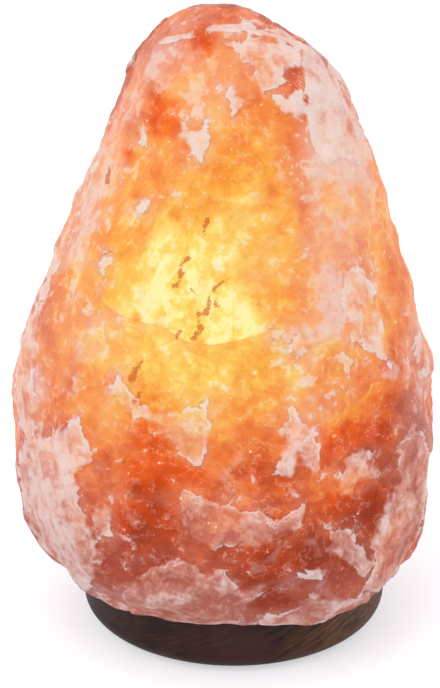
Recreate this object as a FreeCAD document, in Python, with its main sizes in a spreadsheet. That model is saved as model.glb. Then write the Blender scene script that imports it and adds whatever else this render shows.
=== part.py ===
"""Salt crystal lamp: a hewn rock of salt on a round wooden base, lit by a small screw-in lamp.

Millimetres.  +Z is up, the front faces -Y and the origin lies on the surface that the lamp
stands on, below the middle of the rock's width and depth.  The base, the holder and the bulb
share one upright axis, which stands beside the origin by half of what the rock reaches further
to one side than to the other.  Every driving size is a cell of the sheet "Sizes".
"""

import FreeCAD
import Part
import math
import os

import Sketcher

V = FreeCAD.Vector

DOC = FreeCAD.newDocument("salt_lamp")
SHEET = DOC.addObject("Spreadsheet::Sheet", "Sizes")


# ---------------------------------------------------------------- sizes

WOOD_BASE_SIZES = {
    "base_radius": 55.0,
    "base_thickness": 21.0,
    "base_lower_round": 7.0,
    "base_upper_round": 2.0,
    "base_bore_radius": 18.0,
    "counterbore_depth": 13.0,
    "cord_groove_width": 9.0,
    "cord_groove_depth": 10.0,
}

FOOT_SIZES = {
    "foot_radius": 5.0,
    "foot_proud": 1.0,
    "foot_sunk": 1.5,
    "foot_round": 0.6,
    "foot_circle_radius": 41.0,
    "foot_azimuth": 50.0,
    "foot_seat_gap": 0.15,
}

BASE_SCREW_SIZES = {
    "screw_count": 3.0,
    "screw_circle_radius": 33.0,
    "screw_head_radius": 4.0,
    "screw_head_height": 2.8,
    "screw_head_round": 0.8,
    "screw_head_sunk": 0.6,
    "screw_shank_radius": 2.0,
    "screw_core_radius": 1.5,
    "screw_length": 44.0,
    "screw_thread_length": 26.0,
    "screw_thread_rings": 13.0,
    "screw_point_length": 4.0,
    "screw_slot_width": 1.0,
    "screw_slot_length": 4.4,
    "screw_slot_depth": 1.6,
    "screw_hole_gap": 0.3,
    "plug_radius": 4.0,
    "plug_length": 30.0,
    "plug_split_width": 1.2,
    "plug_split_length": 18.0,
    "plug_wall_gap": 0.15,
    "plug_hole_spare": 2.0,
}

CAVITY_SIZES = {
    "cavity_radius": 22.0,
    "cavity_straight_height": 104.0,
    "cavity_dome_height": 22.0,
}

ROCK_SIZES = {
    "rock_height": 205.0,
    "rock_width": 152.0,
    "rock_depth": 136.5,
    "rock_lump": 0.03,
    "hewing_half_width": 60.0,
    "hewing_reach": 25.0,
}

# Each level of the rock: its height above the seat as a share of the rock's height, then its
# reach to the left, right, front and back of the middle line as shares of width and depth.
ROCK_LEVELS = {
    "seat": (0.0, 0.375, 0.3783, 0.4286, 0.3956),
    "foot": (0.0634, 0.4934, 0.4539, 0.4835, 0.4542),
    "hip": (0.161, 0.5171, 0.4539, 0.50916, 0.49084),
    "belly": (0.2878, 0.525, 0.475, 0.5055, 0.4982),
    "waist": (0.4293, 0.496, 0.447, 0.4689, 0.4542),
    "chest": (0.5707, 0.431, 0.395, 0.4029, 0.3883),
    "shoulder": (0.7122, 0.352, 0.337, 0.3297, 0.3077),
    "brow": (0.839, 0.29, 0.274, 0.2491, 0.2271),
    "crown": (0.922, 0.236, 0.189, 0.1685, 0.1538),
    "peak": (0.9756, 0.1579, 0.0888, 0.0952, 0.0879),
    "apex": (1.0, 0.1053, 0.0066, 0.022, 0.0366),
}

# Bearing of each corner of a level, counter-clockwise from +X, and how far it stands out.
ROCK_CORNERS = (
    (0.0, 1.0),
    (26.0, 1.02),
    (54.0, 1.05),
    (92.0, 0.98),
    (127.0, 1.05),
    (154.0, 1.02),
    (180.0, 1.0),
    (203.0, 1.02),
    (225.0, 1.05),
    (247.0, 1.01),
    (270.0, 1.0),
    (297.0, 1.06),
    (319.0, 1.03),
    (340.0, 1.02),
)
FIXED_CORNERS = (0, 6)

# Where one corner of one level stands out or lies back more than its neighbours.
ROCK_DENTS = {
    ("foot", 8): 1.03,
    ("foot", 9): 1.03,
    ("foot", 11): 1.03,
    ("foot", 12): 1.06,
    ("foot", 13): 1.05,
    ("seat", 12): 1.03,
}

# Flat faces hewn off the rock: the level below the face, the corner that it starts at,
# counter-clockwise, and how deep it goes below the middle of the four corners round it.
ROCK_FACETS = {
    "right_face": ("shoulder", 11, 2.2),
    "right_cheek": ("chest", 12, 1.8),
    "left_bevel": ("shoulder", 8, 1.5),
    "front_brow": ("brow", 10, 1.6),
    "lit_face": ("chest", 9, 1.5),
    "front_belly": ("belly", 10, 1.8),
    "left_belly": ("belly", 8, 2.0),
    "left_hip": ("hip", 7, 1.8),
    "front_hip": ("hip", 9, 1.5),
    "right_hip": ("hip", 12, 1.8),
    "left_foot": ("foot", 7, 1.4),
    "right_foot": ("foot", 11, 1.6),
    "right_waist": ("waist", 13, 1.4),
    "right_belly": ("belly", 12, 1.6),
    "left_waist": ("waist", 7, 1.4),
    "left_chest": ("chest", 6, 1.2),
    "right_brow": ("brow", 13, 1.0),
    "left_brow": ("brow", 6, 0.9),
    "right_shoulder": ("shoulder", 0, 1.2),
    "back_foot": ("foot", 3, 1.2),
    "back_left_foot": ("foot", 5, 1.5),
    "back_right_foot": ("foot", 1, 1.6),
    "back_right_hip": ("hip", 2, 1.4),
    "back_left_hip": ("hip", 4, 2.0),
    "back_right_belly": ("belly", 1, 1.8),
    "back_belly": ("belly", 3, 1.0),
    "back_left_waist": ("waist", 5, 2.0),
    "back_waist": ("waist", 2, 2.0),
    "back_chest": ("chest", 4, 2.0),
    "back_right_chest": ("chest", 1, 2.2),
    "back_shoulder": ("shoulder", 3, 2.0),
    "back_left_shoulder": ("shoulder", 5, 1.8),
    "back_brow": ("brow", 2, 1.6),
}

HOLDER_SIZES = {
    "holder_radius": 12.0,
    "holder_length": 48.0,
    "holder_chamber_radius": 9.5,
    "holder_chamber_depth": 24.0,
    "holder_web_thickness": 3.5,
    "holder_mouth_round": 0.8,
    "boss_radius": 2.4,
    "boss_circle_radius": 8.2,
    "boss_height": 12.0,
    "boss_azimuth": 45.0,
}

HOLDER_CAP_SIZES = {
    "flange_radius": 21.5,
    "flange_thickness": 3.0,
    "flange_gap": 0.3,
    "flange_round": 0.6,
    "cup_radius": 14.0,
    "cup_wall": 1.2,
    "cup_depth": 7.0,
    "cap_throat_radius": 5.0,
    "outlet_radius": 3.4,
    "outlet_bore_radius": 2.7,
    "outlet_lift": 0.1,
    "outlet_reach": 20.5,
    "pillar_radius": 2.8,
}

CAP_SCREW_SIZES = {
    "cap_screw_radius": 1.1,
    "cap_screw_head_radius": 2.1,
    "cap_screw_head_height": 1.2,
    "cap_screw_length": 19.0,
    "cap_screw_slot_width": 0.6,
    "cap_screw_slot_depth": 0.6,
    "cap_screw_gap": 0.15,
}

THREAD_SIZES = {
    "thread_pitch": 2.54,
    "thread_root_radius": 5.2,
    "thread_crest_radius": 5.945,
    "thread_root_width": 1.24,
    "thread_crest_width": 0.5,
    "thread_gap": 0.3,
    "thread_sink": 0.15,
}

SHELL_SIZES = {
    "shell_wall": 0.6,
    "shell_length": 18.5,
    "shell_bore_gap": 0.3,
    "shell_floor_gap": 1.0,
    "shell_floor_bore_radius": 4.6,
    "shell_floor_thickness": 0.5,
    "shell_thread_length": 9.0,
}

CONTACT_SIZES = {
    "strip_thickness": 0.5,
    "strip_width": 4.0,
    "strip_drop": 10.0,
    "strip_seat_gap": 0.1,
    "strip_slot_gap": 0.25,
    "centre_strip_reach": 5.0,
    "centre_tongue_rise": 0.9,
    "centre_tongue_radius": 1.8,
    "side_strip_reach": 4.0,
    "side_strip_toe": 1.6,
    "terminal_screw_radius": 1.2,
    "terminal_head_radius": 1.9,
    "terminal_head_height": 1.2,
    "terminal_screw_length": 3.6,
    "terminal_screw_drop": 6.0,
    "terminal_gap": 0.1,
}

CLIP_SIZES = {
    "band_wall": 0.9,
    "band_width": 8.0,
    "band_below_mouth": 4.0,
    "band_seat_gap": 0.1,
    "ear_thickness": 0.9,
    "ear_reach": 16.4,
    "wing_width": 7.6,
    "wing_ear_gap": 0.3,
    "wing_thickness": 0.8,
    "wing_eye_radius": 1.6,
    "wing_pin_gap": 0.08,
    "wing_pivot_reach": 14.9,
    "wing_pad_height": 5.0,
    "wing_toe_height": 1.2,
    "wing_toe_gap": 0.6,
    "wing_bore_gap": 0.35,
    "rivet_radius": 0.9,
    "rivet_head_radius": 1.5,
    "rivet_head_height": 0.6,
    "rivet_ear_gap": 0.05,
}

BULB_SIZES = {
    "button_gap": 0.3,
    "button_radius": 2.3,
    "button_height": 1.0,
    "button_sunk": 0.3,
    "insulator_height": 2.6,
    "insulator_foot_radius": 3.0,
    "insulator_bore_gap": 0.1,
    "cap_length": 15.5,
    "cap_wall": 0.35,
    "cap_thread_start": 1.2,
    "cap_thread_length": 9.5,
    "cap_rim_radius": 5.9,
    "cap_rim_height": 2.2,
    "glass_neck_gap": 0.2,
    "glass_neck_sunk": 8.0,
    "glass_neck_rise": 1.5,
    "glass_flare_height": 10.0,
    "glass_radius": 10.0,
    "glass_wall": 0.7,
    "glass_length": 73.0,
    "stem_flare_height": 4.0,
    "stem_radius": 1.5,
    "stem_length": 30.0,
    "stem_seat_gap": 0.15,
    "lead_radius": 0.35,
    "lead_spread": 6.0,
    "lead_height": 12.0,
    "lead_stem_gap": 0.15,
    "filament_wire_radius": 0.16,
    "filament_coil_radius": 0.8,
    "filament_pitch": 0.9,
    "filament_gap": 0.05,
}

GROUPS = (
    WOOD_BASE_SIZES,
    FOOT_SIZES,
    BASE_SCREW_SIZES,
    CAVITY_SIZES,
    ROCK_SIZES,
    HOLDER_SIZES,
    HOLDER_CAP_SIZES,
    CAP_SCREW_SIZES,
    THREAD_SIZES,
    SHELL_SIZES,
    CONTACT_SIZES,
    CLIP_SIZES,
    BULB_SIZES,
)
LEVEL_PARTS = ("height", "left", "right", "front", "back")


class Term:
    """A number together with the sheet formula that gives it."""

    def __init__(self, value, text=None):
        self.value = float(value)
        self.text = f"({value:.6f})" if text is None else text

    @staticmethod
    def of(value):
        """Return the value as a Term."""
        return value if isinstance(value, Term) else Term(value)

    def join(self, other, sign, result):
        """Return the Term of this and another joined by an arithmetic sign."""
        return Term(result, f"({self.text} {sign} {Term.of(other).text})")

    def __add__(self, other):
        return self.join(other, "+", self.value + Term.of(other).value)

    def __sub__(self, other):
        return self.join(other, "-", self.value - Term.of(other).value)

    def __mul__(self, other):
        return self.join(other, "*", self.value * Term.of(other).value)

    def __truediv__(self, other):
        return self.join(other, "/", self.value / Term.of(other).value)

    def __radd__(self, other):
        return Term.of(other) + self

    def __rsub__(self, other):
        return Term.of(other) - self

    def __rmul__(self, other):
        return Term.of(other) * self

    def __neg__(self):
        return Term(0.0) - self


def cosine(angle):
    """Return the cosine of a Term in degrees."""
    return Term(math.cos(math.radians(angle.value)), f"cos({angle.text})")


def sine(angle):
    """Return the sine of a Term in degrees."""
    return Term(math.sin(math.radians(angle.value)), f"sin({angle.text})")


def root(square):
    """Return the square root of a Term."""
    return Term(math.sqrt(square.value), f"sqrt({square.text})")


class Table:
    """The sheet's sizes, each a Term under its own name."""

    def __init__(self):
        self.row = 0

    def put(self, name, value):
        """Write one size to the sheet and keep its Term."""
        self.row += 1
        SHEET.set(f"A{self.row}", name)
        SHEET.set(f"B{self.row}", repr(value))
        SHEET.setAlias(f"B{self.row}", name)
        setattr(self, name, Term(value, f"Sizes.{name}"))


S = Table()
for group in GROUPS:
    for size_name, size_value in group.items():
        S.put(size_name, size_value)
for level, numbers in ROCK_LEVELS.items():
    for part_name, number in zip(LEVEL_PARTS, numbers):
        S.put(f"{level}_{part_name}", number)
for facet, (_, _, facet_cut) in ROCK_FACETS.items():
    S.put(f"{facet}_cut", facet_cut)
DOC.recompute()

ZERO = Term(0.0)
FULL_TURN = 360.0
LEVEL_TOLERANCE = 1e-6

# Where the upright axis of the base stands.
AXIS_X = S.rock_width * (S.belly_left - S.belly_right) / 2
AXIS_Y = S.rock_depth * (S.hip_front - S.hip_back) / 2

# Heights above the surface that the lamp stands on.
BASE_FLOOR = S.foot_proud
BASE_TOP = S.foot_proud + S.base_thickness
SHOULDER = BASE_FLOOR + S.counterbore_depth
HOLDER_TOP = SHOULDER + S.holder_length
WEB_FLOOR = SHOULDER + S.holder_chamber_depth
WEB_TOP = WEB_FLOOR + S.holder_web_thickness
SHELL_FLOOR = WEB_TOP + S.shell_floor_gap
CUP_FLOOR = SHOULDER - S.flange_thickness - S.cup_depth
PIVOT_HEIGHT = HOLDER_TOP - S.band_below_mouth - S.band_width / 2
TONGUE_TOP = WEB_TOP + S.strip_seat_gap + S.strip_thickness + S.centre_tongue_rise
BUTTON_FLOOR = TONGUE_TOP + S.button_gap
CAP_FLOOR = BUTTON_FLOOR + S.button_height - S.button_sunk + S.insulator_height
CAP_TOP = CAP_FLOOR + S.cap_length
COUNTERBORE_RADIUS = S.flange_radius + S.flange_gap
SHELL_INNER = S.thread_crest_radius + S.thread_gap
SHELL_OUTER = SHELL_INNER + S.shell_wall
HOLDER_BORE = SHELL_OUTER + S.shell_bore_gap
CAP_INNER = S.thread_root_radius - S.cap_wall
NECK_RADIUS = CAP_INNER - S.glass_neck_gap
NECK_FLOOR = CAP_TOP - S.glass_neck_sunk
GLASS_TOP = NECK_FLOOR + S.glass_length


# ---------------------------------------------------------------- drawing helpers

NODES = {}


def node(name, item=None):
    """Register a document object as the sub-part of that name."""
    made = item if item else DOC.addObject("PartDesign::Body", name)
    made.Label = name
    NODES[name] = made
    return made


def origin_part(body, role):
    """Return the origin plane or axis of a body that has the given role."""
    for feature in body.Origin.OriginFeatures:
        if feature.Role == role:
            return feature
    raise ValueError(f"no {role} in {body.Label}")


def sketch_on(body, name, role="XY_Plane", offset=None):
    """Attach a new sketch to one of the body's own origin planes."""
    sketch = body.newObject("Sketcher::SketchObject", name)
    sketch.AttachmentSupport = [(origin_part(body, role), "")]
    sketch.MapMode = "FlatFace"
    if offset is not None:
        sketch.setExpression("AttachmentOffset.Base.z", Term.of(offset).text)
    return sketch


def bind(sketch, kind, geometry, vertex, value):
    """Hold one coordinate of a sketch point at a size."""
    term = Term.of(value)
    index = sketch.addConstraint(Sketcher.Constraint(kind, -1, 1, geometry, vertex, term.value))
    if "Sizes." in term.text:
        sketch.setExpression(f"Constraints[{index}]", term.text)


def outline(sketch, corners):
    """Draw a closed outline of straight lines and arcs, with every corner bound.

    A corner is (x, y), or (x, y, centre_x, way) where the edge that leaves it is an arc about
    a centre with that x, counter-clockwise for a way of 1 and clockwise for -1.
    """
    points = [(Term.of(c[0]), Term.of(c[1])) for c in corners]
    first = sketch.GeometryCount
    count = len(points)
    ends = []
    for k, corner in enumerate(corners):
        here, after = points[k], points[(k + 1) % count]
        start = V(here[0].value, here[1].value, 0)
        finish = V(after[0].value, after[1].value, 0)
        if len(corner) == 2:
            sketch.addGeometry(Part.LineSegment(start, finish))
            ends.append((1, 2))
        elif corner[3] > 0:
            sketch.addGeometry(arc_between(start, finish, Term.of(corner[2]).value))
            ends.append((1, 2))
        else:
            sketch.addGeometry(arc_between(finish, start, Term.of(corner[2]).value))
            ends.append((2, 1))
    for k in range(count):
        after = (k + 1) % count
        join = (first + k, ends[k][1], first + after, ends[after][0])
        sketch.addConstraint(Sketcher.Constraint("Coincident", *join))
    for k, corner in enumerate(corners):
        bind(sketch, "DistanceX", first + k, ends[k][0], points[k][0])
        bind(sketch, "DistanceY", first + k, ends[k][0], points[k][1])
        if len(corner) == 4:
            bind(sketch, "DistanceX", first + k, 3, corner[2])


def arc_between(start, finish, centre_x):
    """Return the counter-clockwise arc between two points with its centre at that x."""
    middle = (start + finish) * 0.5
    chord = finish - start
    centre_y = middle.y - (centre_x - middle.x) * chord.x / chord.y
    centre = V(centre_x, centre_y, 0)
    circle = Part.Circle(centre, V(0, 0, 1), (start - centre).Length)
    low = math.atan2(start.y - centre.y, start.x - centre.x)
    high = math.atan2(finish.y - centre.y, finish.x - centre.x)
    if high < low:
        high += 2 * math.pi
    return Part.ArcOfCircle(circle, low, high)


def ring(sketch, x, y, radius):
    """Draw a circle with its centre and radius bound."""
    here = sketch.GeometryCount
    x, y, radius = Term.of(x), Term.of(y), Term.of(radius)
    sketch.addGeometry(Part.Circle(V(x.value, y.value, 0), V(0, 0, 1), radius.value))
    bind(sketch, "DistanceX", here, 3, x)
    bind(sketch, "DistanceY", here, 3, y)
    index = sketch.addConstraint(Sketcher.Constraint("Radius", here, radius.value))
    sketch.setExpression(f"Constraints[{index}]", radius.text)


def rectangle(sketch, x0, x1, y0, y1):
    """Draw a rectangle between two bound corners."""
    outline(sketch, [(x0, y0), (x1, y0), (x1, y1), (x0, y1)])


def ring_edges(feature, height):
    """Return the names of a feature's edges that lie level at one height."""
    names = []
    for number, edge in enumerate(feature.Shape.Edges, 1):
        box = edge.BoundBox
        off = max(abs(box.ZMin - height), abs(box.ZMax - height))
        if off < LEVEL_TOLERANCE:
            names.append(f"Edge{number}")
    return names


def turned(body, name, corners, cut=False):
    """Revolve an outline of (radius, height) corners about the body's Z axis."""
    sketch = sketch_on(body, f"{name}_section", "XZ_Plane")
    outline(sketch, corners)
    kind = "PartDesign::Groove" if cut else "PartDesign::Revolution"
    feature = body.newObject(kind, name)
    feature.Profile = sketch
    feature.ReferenceAxis = (sketch, ["V_Axis"])
    feature.Angle = FULL_TURN
    return feature


def extruded(body, name, sketch, length, cut=False, both=False, back=False):
    """Pad or pocket a sketch by a bound length, along or against its normal."""
    feature = body.newObject("PartDesign::Pocket" if cut else "PartDesign::Pad", name)
    feature.Profile = sketch
    feature.setExpression("Length", Term.of(length).text)
    feature.Midplane = both
    feature.Reversed = back
    return feature


def screw_thread(body, name, corners, length, start):
    """Add a right-handed ridge of the sketched section around the Z axis."""
    sketch = sketch_on(body, f"{name}_section", "XZ_Plane")
    outline(sketch, [(x, Term.of(y) + start) for x, y in corners])
    feature = body.newObject("PartDesign::AdditiveHelix", name)
    feature.Profile = sketch
    feature.ReferenceAxis = (sketch, ["V_Axis"])
    feature.Mode = 0
    feature.setExpression("Pitch", S.thread_pitch.text)
    feature.setExpression("Height", Term.of(length).text)
    feature.LeftHanded = False
    feature.Reversed = False
    return feature


def spread(body, name, features, count, angle=FULL_TURN):
    """Repeat features evenly about the body's Z axis."""
    pattern = body.newObject("PartDesign::PolarPattern", name)
    pattern.Originals = features
    pattern.Axis = (origin_part(body, "Z_Axis"), [""])
    pattern.Angle = angle
    if isinstance(count, Term):
        pattern.setExpression("Occurrences", count.text)
    else:
        pattern.Occurrences = count
    body.Tip = pattern
    return pattern


# ---------------------------------------------------------------- the wooden base


def build_wood_base():
    """Turned disc with a stepped bore, feet recesses, screw holes and a cord groove."""
    body = node("wood_base")
    flat = S.base_radius - S.base_lower_round
    rim = S.base_radius - S.base_upper_round
    turned(
        body,
        "base_disc",
        [
            (S.base_bore_radius, SHOULDER),
            (COUNTERBORE_RADIUS, SHOULDER),
            (COUNTERBORE_RADIUS, BASE_FLOOR),
            (flat, BASE_FLOOR, flat, 1),
            (S.base_radius, BASE_FLOOR + S.base_lower_round),
            (S.base_radius, BASE_TOP - S.base_upper_round, rim, 1),
            (rim, BASE_TOP),
            (S.base_bore_radius, BASE_TOP),
        ],
    )
    groove = sketch_on(body, "cord_groove_section", offset=BASE_FLOOR)
    rectangle(
        groove,
        -S.cord_groove_width / 2,
        S.cord_groove_width / 2,
        S.base_bore_radius,
        S.base_radius + S.base_lower_round,
    )
    extruded(body, "cord_groove", groove, S.cord_groove_depth, cut=True, back=True)
    recess = sketch_on(body, "foot_recess_section", offset=BASE_FLOOR)
    for x, y in foot_centres():
        ring(recess, x, y, S.foot_radius + S.foot_seat_gap)
    extruded(body, "foot_recesses", recess, S.foot_sunk, cut=True, back=True)
    drill_screw_holes(body)


def foot_centres():
    """Return the four places of the rubber feet."""
    x = S.foot_circle_radius * cosine(S.foot_azimuth)
    y = S.foot_circle_radius * sine(S.foot_azimuth)
    return [(x, y), (-x, y), (-x, -y), (x, -y)]


def screw_centres():
    """Return the places of the base screws, the first straight in front."""
    count = int(round(S.screw_count.value))
    places = []
    for k in range(count):
        angle = Term(-90.0) + Term(FULL_TURN) * k / S.screw_count
        places.append((S.screw_circle_radius * cosine(angle), S.screw_circle_radius * sine(angle)))
    return places


def drill_screw_holes(body):
    """Cut the base's clearance holes and their sinkings for the screw heads."""
    hole = S.screw_shank_radius + S.screw_hole_gap
    head = S.screw_head_radius + S.screw_hole_gap
    drill = sketch_on(body, "screw_hole_section", offset=BASE_FLOOR)
    for x, y in screw_centres():
        ring(drill, x, y, hole)
    extruded(body, "screw_holes", drill, S.base_thickness, cut=True, back=True)
    sink = sketch_on(body, "screw_sinking_section", offset=BASE_FLOOR)
    for x, y in screw_centres():
        ring(sink, x, y, head)
    depth = S.screw_head_sunk + S.screw_head_height
    extruded(body, "screw_sinkings", sink, depth, cut=True, back=True)


def build_rubber_feet():
    """Four round bumpers, each pressed into its recess."""
    body = node("rubber_feet")
    sketch = sketch_on(body, "foot_section")
    for x, y in foot_centres():
        ring(sketch, x, y, S.foot_radius)
    feet = extruded(body, "feet", sketch, S.foot_proud + S.foot_sunk - S.foot_seat_gap)
    DOC.recompute()
    soften = body.newObject("PartDesign::Fillet", "foot_rounds")
    soften.Base = (feet, ring_edges(feet, 0.0))
    soften.setExpression("Radius", S.foot_round.text)


def build_base_screws():
    """Wood screws that go up through the base into the plugs in the rock."""
    body = node("base_screws")
    head_floor = BASE_FLOOR + S.screw_head_sunk
    neck = head_floor + S.screw_head_height
    tip = head_floor + S.screw_length
    thread_top = tip - S.screw_point_length
    thread_floor = thread_top - S.screw_thread_length
    rings = int(round(S.screw_thread_rings.value))
    step = S.screw_thread_length / S.screw_thread_rings
    corners = [
        (ZERO, head_floor),
        (S.screw_head_radius - S.screw_head_round, head_floor),
        (S.screw_head_radius, head_floor + S.screw_head_round),
        (S.screw_head_radius, neck),
        (S.screw_shank_radius, neck),
        (S.screw_shank_radius, thread_floor),
    ]
    for k in range(rings):
        corners.append((S.screw_core_radius, thread_floor + step * (k + 0.3)))
        corners.append((S.screw_core_radius, thread_floor + step * (k + 0.6)))
        corners.append((S.screw_shank_radius, thread_floor + step * (k + 1)))
    corners.append((ZERO, tip))
    shift = S.screw_circle_radius
    sketch = sketch_on(body, "screw_section", "XZ_Plane")
    outline(sketch, [(shift + Term.of(x), z) for x, z in corners])
    axis = sketch.addGeometry(
        Part.LineSegment(V(shift.value, head_floor.value, 0), V(shift.value, tip.value, 0)), True
    )
    bind(sketch, "DistanceX", axis, 1, shift)
    bind(sketch, "DistanceY", axis, 1, head_floor)
    bind(sketch, "DistanceX", axis, 2, shift)
    bind(sketch, "DistanceY", axis, 2, tip)
    screw = body.newObject("PartDesign::Revolution", "screw")
    screw.Profile = sketch
    screw.ReferenceAxis = (sketch, ["Axis0"])
    screw.Angle = FULL_TURN
    slots = sketch_on(body, "slot_section", offset=head_floor)
    half, reach = S.screw_slot_width / 2, S.screw_slot_length / 2
    outline(
        slots,
        [
            (shift - reach, -half),
            (shift - half, -half),
            (shift - half, -reach),
            (shift + half, -reach),
            (shift + half, -half),
            (shift + reach, -half),
            (shift + reach, half),
            (shift + half, half),
            (shift + half, reach),
            (shift - half, reach),
            (shift - half, half),
            (shift - reach, half),
        ],
    )
    cross = extruded(body, "cross_slot", slots, S.screw_slot_depth, cut=True, back=True)
    spread(body, "screw_set", [screw, cross], S.screw_count)
    turn_to_front(body)


def turn_to_front(body):
    """Turn a body so that what was drawn along +X stands straight in front."""
    body.Placement = FreeCAD.Placement(V(), FreeCAD.Rotation(V(0, 0, 1), -90))


def build_wall_plugs():
    """Split plastic plugs let into the rock above the screw holes."""
    body = node("wall_plugs")
    shift = S.screw_circle_radius
    ring_sketch = sketch_on(body, "plug_section", offset=BASE_TOP)
    ring(ring_sketch, shift, ZERO, S.plug_radius)
    ring(ring_sketch, shift, ZERO, S.screw_shank_radius + S.screw_hole_gap)
    tube = extruded(body, "plug_tube", ring_sketch, S.plug_length)
    split = sketch_on(body, "split_section", offset=BASE_TOP + S.plug_length)
    rectangle(
        split,
        shift - S.plug_radius - S.plug_wall_gap,
        shift + S.plug_radius + S.plug_wall_gap,
        -S.plug_split_width / 2,
        S.plug_split_width / 2,
    )
    cut = extruded(body, "plug_split", split, S.plug_split_length, cut=True)
    spread(body, "plug_set", [tube, cut], S.screw_count)
    turn_to_front(body)


# ---------------------------------------------------------------- the rock


def level_corners(index, level):
    """Return the corners of one level of the rock, irregular but always the same."""
    left, right, front, back = (getattr(S, f"{level}_{side}") for side in LEVEL_PARTS[1:])
    corners = []
    for k, (bearing, fullness) in enumerate(ROCK_CORNERS):
        angle = math.radians(bearing)
        east, north = math.cos(angle), math.sin(angle)
        wave = math.sin(2.4 * index + 4.1 * k)
        across = S.rock_width * (right if east >= 0 else left)
        along = S.rock_depth * (back if north >= 0 else front)
        fullness = fullness * ROCK_DENTS.get((level, k), 1.0)
        full = Term(fullness) if k in FIXED_CORNERS else Term(fullness) + S.rock_lump * wave
        corners.append((across * east * full, along * north * full))
    return corners


def level_height(level):
    """Return the height of one level of the rock."""
    return BASE_TOP + S.rock_height * getattr(S, f"{level}_height")


def facet_place(level, corner):
    """Return the middle of four neighbouring corners of the rock and where they face."""
    levels = list(ROCK_LEVELS)
    points = []
    for index in (levels.index(level), levels.index(level) + 1):
        corners = level_corners(index, levels[index])
        for k in (corner, (corner + 1) % len(corners)):
            points.append((*corners[k], level_height(levels[index])))
    middle = [(a + b + c + d) / 4 for a, b, c, d in zip(*points)]
    low_near, low_far, high_near, high_far = (V(*(term.value for term in p)) for p in points)
    facing = (low_far - high_near).cross(high_far - low_near)
    return middle, facing.normalize()


def hew_facets(body):
    """Cut the flat faces off the rock."""
    half = S.hewing_half_width
    for name, (level, corner, _) in ROCK_FACETS.items():
        middle, facing = facet_place(level, corner)
        sketch = sketch_on(body, f"{name}_plane")
        turn = FreeCAD.Rotation(V(0, 0, 1), facing)
        sketch.AttachmentOffset = FreeCAD.Placement(V(0, 0, 0), turn)
        for letter, place, share in zip("xyz", middle, facing):
            seat = place - getattr(S, f"{name}_cut") * share
            sketch.setExpression(f"AttachmentOffset.Base.{letter}", seat.text)
        rectangle(sketch, -half, half, -half, half)
        extruded(body, name, sketch, S.hewing_reach, cut=True, back=True)


def build_salt_crystal():
    """The hewn rock: stacked levels with flat faces, hollowed from below for the lamp."""
    body = node("salt_crystal")
    sections = []
    for index, level in enumerate(ROCK_LEVELS):
        sketch = sketch_on(body, f"{level}_outline", offset=level_height(level))
        outline(sketch, level_corners(index, level))
        sections.append(sketch)
    stack = body.newObject("PartDesign::AdditiveLoft", "rock_mass")
    stack.Profile = sections[0]
    stack.Sections = sections[1:]
    stack.Ruled = True
    hew_facets(body)
    top = BASE_TOP + S.cavity_straight_height
    turned(
        body,
        "lamp_cavity",
        [
            (ZERO, BASE_FLOOR),
            (S.cavity_radius, BASE_FLOOR),
            (S.cavity_radius, top, ZERO, 1),
            (ZERO, top + S.cavity_dome_height),
        ],
        cut=True,
    )
    sketch = sketch_on(body, "plug_hole_section", offset=BASE_TOP)
    for x, y in screw_centres():
        ring(sketch, x, y, S.plug_radius + S.plug_wall_gap)
    depth = S.plug_length + S.plug_hole_spare
    extruded(body, "plug_holes", sketch, depth, cut=True, back=True)


# ---------------------------------------------------------------- the lamp holder


def boss_centres():
    """Return the two places of the bosses that the holder's cap screws into."""
    x = S.boss_circle_radius * cosine(S.boss_azimuth)
    y = S.boss_circle_radius * sine(S.boss_azimuth)
    return [(x, y), (-x, -y)]


def build_holder_body():
    """Moulded tube with a wiring chamber below a web and the screw shell's bore above."""
    body = node("holder_body")
    turned(
        body,
        "holder_tube",
        [
            (S.holder_chamber_radius, SHOULDER),
            (S.holder_radius, SHOULDER),
            (S.holder_radius, HOLDER_TOP - S.holder_mouth_round),
            (S.holder_radius - S.holder_mouth_round, HOLDER_TOP),
            (HOLDER_BORE, HOLDER_TOP),
            (HOLDER_BORE, WEB_TOP),
            (ZERO, WEB_TOP),
            (ZERO, WEB_FLOOR),
            (S.holder_chamber_radius, WEB_FLOOR),
        ],
    )
    bosses = sketch_on(body, "boss_section", offset=SHOULDER)
    for x, y in boss_centres():
        ring(bosses, x, y, S.boss_radius)
    extruded(body, "bosses", bosses, S.boss_height)
    holes = sketch_on(body, "boss_hole_section", offset=SHOULDER)
    for x, y in boss_centres():
        ring(holes, x, y, S.cap_screw_radius + S.cap_screw_gap)
    extruded(body, "boss_holes", holes, S.boss_height, cut=True, back=True)
    slots = sketch_on(body, "strip_slot_section", offset=WEB_FLOOR)
    half = S.strip_width / 2 + S.strip_slot_gap
    for side, reach in ((-1, S.centre_strip_reach), (1, S.side_strip_reach)):
        near = reach - S.strip_thickness / 2 - S.strip_slot_gap
        far = reach + S.strip_thickness / 2 + S.strip_slot_gap
        ends = (near * side, far * side)
        rectangle(slots, min(ends, key=value_of), max(ends, key=value_of), -half, half)
    extruded(body, "strip_slots", slots, S.holder_web_thickness, cut=True, back=True)


def value_of(term):
    """Return a Term's number."""
    return term.value


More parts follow.
